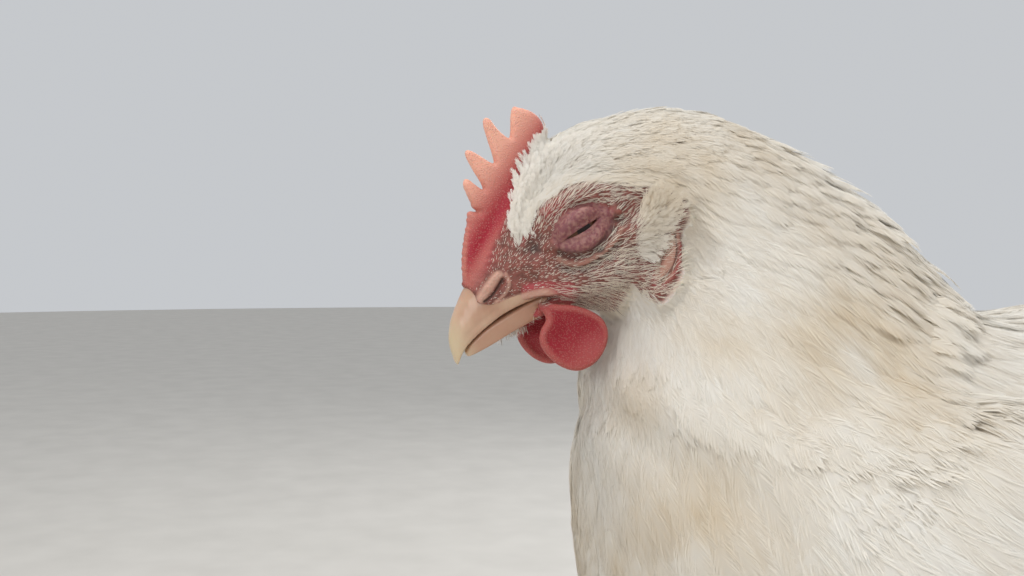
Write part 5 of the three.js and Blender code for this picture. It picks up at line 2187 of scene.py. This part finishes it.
    def build(self, marks: Marks) -> None:
        """Grows the coat.

        Args:
            marks: The marks of the skin.
        """
        self.face(marks)
        candidates = self.scatter(self.SPOTS)
        candidates = candidates[self.feathered(candidates)]
        _, length, width, spacing = self.lie.read(candidates)
        kept = self.thinned(candidates, spacing)
        roots, length, width = candidates[kept], length[kept], width[kept]
        length = length * self.random.normal(1.0, 0.1, len(length))
        log.info("%d feathers rooted", len(roots))
        nape = np.linalg.norm((roots - [0, MIDDLE - 26, 316]) * [0.55, 1, 1], axis=1)
        foot = np.linalg.norm((roots - [0, MIDDLE + 2, 294]) * [0.4, 1, 1], axis=1)
        length, edge = self.cape(roots, length)
        lift = edge + 0.19 * np.exp(-((nape / 24.0) ** 2)) - 0.62 * np.exp(-((foot / 13.0) ** 2))
        rear = (np.linalg.norm(roots - self.shape.centre, axis=1) > 150) | (roots[:, 2] < 165)
        short, long = length < 9.0, length >= 21.0
        kinds = (
            ("coat_short", short, Plume(8, 0.26, 4, loose=0.14, point=0.35, angle=(18, 6))),
            ("coat_middle", ~(short | long), Plume(18, 0.34, 5, 0.9, loose=0.2, point=0.4, angle=(19, 6))),
            ("coat_long", long & ~rear, Plume(30, 0.4, 6, 1.0, loose=0.28, point=0.45, angle=(22, 7))),
            ("coat_body", long & rear, Plume(16, 0.8, 6, 1.0, loose=0.36, point=0.6, angle=(28, 11))),
        )
        width = width * np.interp(length, [5, 12, 30, 50], [1.1, 1.3, 1.15, 1.0])
        for name, some, plume in kinds:
            tufts = self.trace(roots[some], plume, length[some], width[some], lift=lift[some])
            self.piece(name, tufts, plume)
        self.wings()
        self.tail()

    def wings(self) -> None:
        """Lays the coverts and flight feathers of the folded wings in rows, the upper over the lower."""
        rows = (
            # name, count, first root, last root, first and last direction, lengths, width, heights, free
            ("primaries", 7, (69, -36, 178), (66, -50, 196),
             (-0.27, -0.84, 0.44), (-0.3, -0.84, 0.4), (130, 112), 13.0, (2.0, 3.2), True),
            ("secondaries", 14, (82, 12, 168), (66, -84, 240),
             (-0.1, -0.97, 0.24), (-0.3, -0.93, 0.22), (76, 64), 16.0, (3.0, 5.0), True),
            ("greater_coverts", 14, (84, 28, 184), (64, -82, 256),
             (-0.03, -0.98, 0.12), (-0.1, -0.98, 0.12), (40, 36), 15.0, (4.2, 5.2), False),
            ("median_coverts", 15, (85, 38, 197), (60, -76, 268),
             (0.0, -0.98, 0.04), (0, -0.98, 0.06), (30, 30), 14.0, (4.8, 5.6), False),
            ("lesser_coverts", 15, (84, 44, 210), (54, -64, 277),
             (0.0, -0.98, 0.0), (0, -0.98, 0.0), (24, 26), 13.0, (5.0, 5.6), False),
        )  # fmt: skip
        plume = Plume(56, 1.1, 9, 0.94, point=0.74, angle=(30, 20), loose=0.12, over=1.01)
        for name, count, first, last, ahead, behind, lengths, wide, heights, free in rows:
            share = np.linspace(0, 1, count)[:, None]
            spots = between(first, last, share)
            roots = np.column_stack([spots[:, 0], MIDDLE - spots[:, 1], spots[:, 2]])
            roots = self.volume.onto(mirrored(roots))
            ways = mirrored(unit(between(ahead, behind, share)) * [1, -1, 1])
            length, deep = (np.tile(a + (b - a) * share[:, 0], 2) for a, b in (lengths, heights))
            length *= self.random.normal(1.0, 0.015, len(length))
            width = np.full(2 * count, wide)
            tufts = self.trace(roots, plume, length, width, ways, 0.02, deep=deep, free=free)
            self.piece(name, tufts, plume)

    def tail(self) -> None:
        """Fans the tail feathers out on either side of the middle."""
        lengths = (125, 136, 144, 148, 144, 134, 120)
        count = len(lengths)
        plume = Plume(80, 1.5, 9, 0.95, point=0.8, angle=(30, 20), loose=0.12, over=1.01)
        lines, across, above = [], [], []
        share = np.linspace(0, 1 + 1 / plume.bends, plume.bends + 2)[:, None]
        for i, long in enumerate(lengths):
            rise = math.radians(44.0 - 40.0 * i / (count - 1))
            way = np.array([0.0, math.cos(rise), math.sin(rise)])
            upward = np.array([0.0, -math.sin(rise), math.cos(rise)])
            root = np.array([2.5 + 8.0 * i / count, MIDDLE + 112.0, 261.0 - 0.8 * i])
            splay = np.array([1.0, 0, 0]) * (1.0 + 9.0 * i / count) * np.sin(share * 2.2)
            line = root + way * share * long + splay - upward * 7.0 * share**2
            for side in SIDES.values():
                lines.append(line * [side, 1, 1])
                tangent = unit(np.gradient(lines[-1], axis=0))
                across.append(unit(np.cross(unit(np.array([side, 0.0, 0.35])), tangent)))
                above.append(unit(np.cross(tangent, across[-1])))
        lines, across, above = (np.array(rows) for rows in (lines, across, above))
        length, width = np.repeat(np.array(lengths, float), 2), np.full(2 * count, 21.0)
        tufts = Tufts(lines, across, above, length, width, self.random.random(2 * count), lines[:, 0])
        self.piece("tail_feathers", tufts, plume)
        self.tail_coverts()

    def tail_coverts(self) -> None:
        """Lays three rows of coverts over the roots of the tail feathers."""
        share = np.tile(np.linspace(0, 1, 9), 3)[:, None]
        row = np.repeat(np.arange(3), 9)[:, None]
        spots = between([8, MIDDLE + 104, 288], [30, MIDDLE + 92, 250], share)
        spots = spots + row * np.array([-1.0, 22.0, 6.0])
        roots = self.volume.onto(mirrored(spots))
        ways = mirrored(unit(between([0.12, 0.86, 0.5], [0.0, 0.97, 0.2], share)))
        length = self.random.uniform(58, 74, len(roots))
        plume = Plume(48, 1.0, 8, 0.94, point=0.7, angle=(28, 14), loose=0.16, over=1.04)
        deep = np.tile(4.5 + 1.6 * row[:, 0], 2)
        tufts = self.trace(roots, plume, length, np.full(len(roots), 15.0), ways, 0.05, deep=deep)
        self.piece("tail_coverts", tufts, plume)


# ---------------------------------------------------------------- finishes
def bumped(nodes: Nodes, height: object, strength: float, depth: float) -> None:
    """Gives the surface fine relief, with its depth in millimetres."""
    bump = nodes.add("ShaderNodeBump", Strength=strength, Distance=depth * MM, Height=height)
    nodes.tree.links.new(bump.outputs[0], nodes.shader.inputs["Normal"])


def dots(nodes: Nodes, size: float, inner: float, outer: float) -> Socket:
    """Returns 1 in round dots scattered at a spacing in millimetres, with soft edges."""
    place = nodes.add("ShaderNodeTexCoord").outputs["Object"]
    spots = nodes.add("ShaderNodeTexVoronoi", Vector=place, Scale=1.0 / (size * MM))
    return nodes.add("ShaderNodeMapRange", i0=spots.outputs["Distance"], i1=outer, i2=inner).outputs[0]


def colored(nodes: Nodes, tint: Socket, roughness: float, **settings: float) -> bpy.types.Material:
    """Sets a material's colour, and its other numbers directly.

    Args:
        nodes: The material's nodes.
        tint: Its colour.
        roughness: Its roughness.
        settings: Its other numbers, by name.
    """
    nodes.tree.links.new(tint, nodes.shader.inputs["Base Color"])
    nodes.shader.inputs["Roughness"].default_value = roughness
    for key, value in settings.items():
        nodes.shader.inputs[key.replace("_", " ")].default_value = value
    return nodes.material


def plumed(nodes: Nodes, tone: object, finish: "PlumeFinish") -> Socket:
    """Returns the white of the feathers with its warm and cool patches."""
    buff = painted(nodes, finish.straw, (tone, 1.0, finish.buff))
    return painted(nodes, finish.cream, (tone, 1.0, finish.white), ("warm", 1.0, buff))


@dataclass(frozen=True)
class PlumeFinish:
    """Keratin barbs, dry and soft: cream white with buff patches, and painted shade that darkens each feather
    toward its root.
    """

    white: str = "FBF9F4"
    cream: str = "F6F1E8"
    buff: str = "E9D4AC"
    straw: str = "DAC296"
    # painted shade: the colour toward each feather's root, where the feathers over it would shade it
    root: str = "E8DECD"
    fleck: str = "3A332C"
    thin: float = 0.38  # share of light that passes through

    def material(self) -> bpy.types.Material:
        """Makes the feathers' material."""
        nodes = Nodes("feather_keratin")
        tone, along = (
            nodes.add("ShaderNodeAttribute", {"attribute_name": name}).outputs["Fac"]
            for name in ("tone", "along")
        )
        # painted shade, strongest at each feather's root and gone by its middle
        deep = nodes.add("ShaderNodeMapRange", i0=along, i1=0.5, i2=0.0).outputs[0]
        rare = nodes.add("ShaderNodeMapRange", i0=tone, i1=0.9965, i2=0.9975).outputs[0]
        tint = painted(nodes, plumed(nodes, tone, self), (deep, 0.5, self.root), (rare, 0.8, self.fleck))
        thin = nodes.add("ShaderNodeBsdfTranslucent", Color=tint)
        both = nodes.add("ShaderNodeMixShader", i0=self.thin, i1=nodes.shader.outputs[0], i2=thin.outputs[0])
        nodes.tree.links.new(both.outputs[0], nodes.output.inputs["Surface"])
        return colored(nodes, tint, 0.75, Sheen_Weight=0.12, Sheen_Roughness=0.5, Specular_IOR_Level=0.25)


@dataclass(frozen=True)
class SkinFinish:
    """Bare skin: moist thin lids, pebbled red comb, beige lip, and painted shade in the creases, nostril and
    grooves.
    """

    face: str = "93554B"
    dusky: str = "72443A"
    flush: str = "B2484E"
    lid: str = "834C50"
    comb: str = "A2172B"
    comb_rim: str = "F4B49C"
    papilla: str = "EBA898"
    pale: str = "CFA390"
    # painted shade in the creases round the eye
    crease_shade: str = "433C38"
    # painted shade in the nostril and the grooves of the mouth and ear lobe; also the wattles' own slightly
    # darker red
    groove_shade_and_wattle_tone: str = "4A2A20"
    plate: str = "E3CC9A"
    groove: str = "C9A973"

    def material(self, plume: PlumeFinish) -> bpy.types.Material:
        """Makes the skin's material.

        Args:
            plume: The finish of the plumage, for the down.
        """
        nodes = Nodes("hen_skin")
        grain = speckle(nodes, 0.9, 0.4, 0.6)
        spots = dots(nodes, 0.44, 0.12, 0.5)
        lid = painted(nodes, self.lid, (grain, 0.3, self.pale))
        flesh = painted(nodes, self.comb, ("rim", 1.0, self.comb_rim), (spots, 0.3, self.papilla))
        leg = painted(nodes, self.plate, (speckle(nodes, 5.0, 0.35, 0.7), 1.0, self.groove))
        tint = painted(
            nodes,
            self.face,
            (speckle(nodes, 1.6, 0.35, 0.65, 3.0), 1.0, self.dusky),
            ("flush", 0.85, self.flush),
            ("lids", 1.0, lid),
            ("flesh", 1.0, flesh),
            ("pale", 0.92, self.pale),
            # painted shade in the creases, nostril and grooves, with the wattles' darker red, in the next two
            # coats
            ("crease_shade", 1.0, self.crease_shade),
            ("groove_shade_and_wattle_tone", 1.0, self.groove_shade_and_wattle_tone),
            ("down", 1.0, plumed(nodes, 0.4, plume)),
            ("leg", 1.0, leg),
        )
        where = nodes.add("ShaderNodeAttribute", {"attribute_name": "flesh"}).outputs["Fac"]
        pebbles = nodes.add("ShaderNodeMix", i0=where, i2=grain, i3=spots).outputs[0]
        bumped(nodes, pebbles, 0.6, 0.22)
        soft = {"Subsurface_Weight": 0.12, "Subsurface_Scale": 0.0012}
        return colored(nodes, tint, 0.48, Specular_IOR_Level=0.4, **soft)


@dataclass(frozen=True)
class HornFinish:
    """Horn of the bill: pinkish white with a cream tip and fine growth lines, softly polished; the lower bill
    carries painted shade.
    """

    name: str
    base: str
    patch: str
    tip: str

    def material(self) -> bpy.types.Material:
        """Makes the horn's material."""
        nodes = Nodes(self.name)
        mottled = (speckle(nodes, 9, 0.35, 0.75), 1.0, self.patch)
        # the lower bill takes the patch colour as painted shade under the upper bill
        tint = painted(nodes, self.base, mottled, ("low", 0.55, self.patch), ("tip", 1.0, self.tip))
        bumped(nodes, speckle(nodes, 1.2, 0.3, 0.7, 4.0), 0.25, 0.08)
        return colored(nodes, tint, 0.28, Subsurface_Weight=0.1, Subsurface_Scale=0.001, Coat_Weight=0.3)


@dataclass(frozen=True)
class EyeFinish:
    """A wet eyeball: brown iris round a black pupil."""

    white: str = "3E2A22"
    iris: str = "4A2A16"
    pupil: str = "1E120E"

    def material(self, eye: Eye) -> bpy.types.Material:
        """Makes the eyeball's material.

        Args:
            eye: The eyeball.
        """
        nodes = Nodes("hen_eye")
        gaze = nodes.add("ShaderNodeAttribute", {"attribute_name": "gaze"}).outputs["Fac"]
        iris, pupil = (
            nodes.add("ShaderNodeMapRange", i0=gaze, i1=edge + soft, i2=edge).outputs[0]
            for edge, soft in ((eye.iris, 0.05), (eye.pupil, 0.04))
        )
        tint = painted(nodes, self.white, (iris, 1.0, self.iris), (pupil, 1.0, self.pupil))
        return colored(nodes, tint, 0.2, Coat_Weight=0.2, Coat_Roughness=0.1, Specular_IOR_Level=0.2)


# ---------------------------------------------------------------- stage
def aimed(
    name: str, data: bpy.types.ID, place: Sequence[float], target: Sequence[float]
) -> bpy.types.Object:
    """Returns a new camera or lamp that stands at a place and points at a target, in metres.

    Args:
        name: Its name.
        data: The camera's or the lamp's settings.
        place: Where it stands, in metres.
        target: Where it points, in metres.
    """
    item = bpy.data.objects.new(name, data)
    item.location = place
    item.rotation_euler = (Vector(target) - Vector(place)).to_track_quat("-Z", "Y").to_euler()
    bpy.context.scene.collection.objects.link(item)
    return item


@dataclass(frozen=True)
class View:
    """The camera, in metres, with its focal length in millimetres."""

    place: tuple[float, float, float] = (0.287, -0.2677, 0.300)
    target: tuple[float, float, float] = (0.0, -0.1800, 0.2905)
    lens: float = 42.19

    def build(self) -> None:
        """Sets the scene's camera."""
        camera = aimed("camera", bpy.data.cameras.new("camera"), self.place, self.target)
        camera.data.lens = self.lens
        camera.data.clip_start = 0.01
        bpy.context.scene.camera = camera


@dataclass(frozen=True)
class Lamp:
    """One soft studio light, in metres."""

    name: str
    place: tuple[float, float, float]
    size: float
    power: float
    color: str = "FFFFFF"

    def light(self, target: Sequence[float]) -> None:
        """Hangs the light and points it at a target.

        Args:
            target: Where it points, in metres.
        """
        data = bpy.data.lights.new(self.name, "AREA")
        data.shape = "DISK"
        data.size = self.size
        data.energy = self.power
        data.color = linear(self.color)[:3]
        aimed(self.name, data, self.place, target)


@dataclass(frozen=True)
class Studio:
    """A plain pale floor, soft lamps and a pale sky."""

    floor: float = 6.0  # radius
    target: tuple[float, float, float] = (0.0, -0.12, 0.25)
    paint: tuple[str, str] = ("CFCBC4", "D6D2CB")
    sky: str = "DDE0E4"
    strength: float = 0.78
    lamps: tuple[Lamp, ...] = (
        Lamp("overhead", (0.25, -0.35, 1.5), 1.3, 9.8, "FFFDF8"),
        Lamp("front_left", (1.1, -1.2, 0.75), 1.1, 6.0),
        Lamp("behind", (-0.9, 0.9, 0.9), 1.0, 7.0),
    )

    def build(self) -> None:
        """Lays the floor, hangs the lamps and sets the sky."""
        sides = 96
        turns = np.linspace(0, 2 * math.pi, sides, endpoint=False)
        rim = np.column_stack([np.cos(turns), np.sin(turns), np.zeros(sides)]) * self.floor / MM
        floor = mesh_object("floor", rim, [np.arange(sides)[None, :]], smooth=False)
        nodes = Nodes("painted_board")
        tint = painted(nodes, self.paint[0], (speckle(nodes, 60, 0.3, 0.7), 1.0, self.paint[1]))
        floor.data.materials.append(colored(nodes, tint, 0.85))
        floor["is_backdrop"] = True
        for lamp in self.lamps:
            lamp.light(self.target)
        world = bpy.data.worlds.new("sky")
        bpy.context.scene.world = world
        world.use_nodes = True
        ground = world.node_tree.nodes["Background"]
        ground.inputs["Color"].default_value = linear(self.sky)
        ground.inputs["Strength"].default_value = self.strength


# ---------------------------------------------------------------- the hen
@dataclass
class Hen:
    """Builds every piece of the hen and hangs it on the frame."""

    axes: HeadAxes
    packed: Array

    def hold(self, piece: bpy.types.Object, slot: str, material: bpy.types.Material, *nodes: str) -> None:
        """Hangs a piece on the bird, with its material, and hides the nodes it stands for.

        Args:
            piece: The piece.
            slot: What the piece is made of; not used.
            material: Its finish.
            nodes: The nodes that it replaces.
        """
        piece.data.materials.append(material)
        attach(piece, BODY)
        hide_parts(*nodes)
        log.info("%s made", piece.name)

    @staticmethod
    def flesh_nodes() -> list[str]:
        """Returns the names of the solids that the one skin stands for."""
        paired = ("eyelids", "ear_tuft", "ear_lobe", "wattle", "wing", "primaries", "thigh", "shank", "foot")
        toes = [f"toe_{toe}" for toe in ("middle", "inner", "outer", "hind")]
        sided = [f"{name}_{side}" for name in (*paired, *toes) for side in SIDES]
        return ["trunk", "neck", "head", "comb", "tail", *sided]

    def build(self) -> None:
        """Builds the hen."""
        shape = SkinShape(self.axes, Face(), Wattle(), Coat(), self.packed)
        points, quads = shape.build()
        marks = Marks(shape)
        plume = PlumeFinish()
        leg = Leg()
        spots, faces = leg.build()
        every = np.vstack([points, mirrored(spots)])
        start = len(points)
        skin = mesh_object("skin", every, [quads, faces + start, faces[:, ::-1] + start + len(spots)])
        marks.write(skin, every, np.repeat([0.0, 1.0], [start, 2 * len(spots)]))
        self.hold(skin, "face_skin", SkinFinish().material(plume), *self.flesh_nodes())
        horn = HornFinish("bill_horn", "C9A58A", "B07F66", "D2BC9A")
        for name, piece in Bill().build(self.axes).items():
            self.hold(piece, "beak_horn", horn.material(), name)
        eye = Eye()
        for side in SIDES:
            self.hold(eye.build(self.axes, side), "eyeball", EyeFinish().material(eye), f"eye_{side}")
        self.claws(leg)
        plumage = Plumage(shape, Lie(), points, quads)
        plumage.build(marks)
        feather = plume.material()
        for piece in plumage.made:
            self.hold(piece, "plumage", feather, *self.flesh_nodes()[:3])
        shown = [item.data for item in bpy.data.objects if item.type == "MESH" and not item.hide_render]
        log.info("%d triangles in all", sum(len(mesh.loops) - 2 * len(mesh.polygons) for mesh in shown))

    def claws(self, leg: Leg) -> None:
        """Makes the eight claws.

        Args:
            leg: The leg below the feathers.
        """
        finish = HornFinish("claw_horn", "CDB48C", "B79B72", "E2D2B0").material()
        sides = 16
        for name, toe in leg.toes.items():
            line, radius = toe.horn(np.array(leg.foot))
            points, quads = tapered(line, radius, sides, 0.8)
            for side, way in SIDES.items():
                faces = quads if side == "left" else quads[:, ::-1]
                claw = mesh_object(f"claw_horn_{name}_{side}", points * [way, 1, 1], [faces])
                mark(claw, "tip", np.repeat(np.linspace(-0.3, 1, len(line)).clip(0, 1), sides))
                self.hold(claw, "claw_horn", finish, f"claw_{name}_{side}")


def main() -> None:
    """Builds the hen's pieces in order."""
    logging.basicConfig(level=logging.INFO, format="%(relativeCreated)d %(message)s")
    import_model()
    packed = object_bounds()
    low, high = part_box("eye_left")
    middle = (low + high) / 2 / MM
    hen = Hen(HeadAxes(middle.y, middle.z), np.array(packed) / MM)
    hen.build()
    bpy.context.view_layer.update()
    View().build()
    Studio().build()
    bpy.context.scene.view_settings.view_transform = "Standard"


if __name__ == "__main__":
    main()
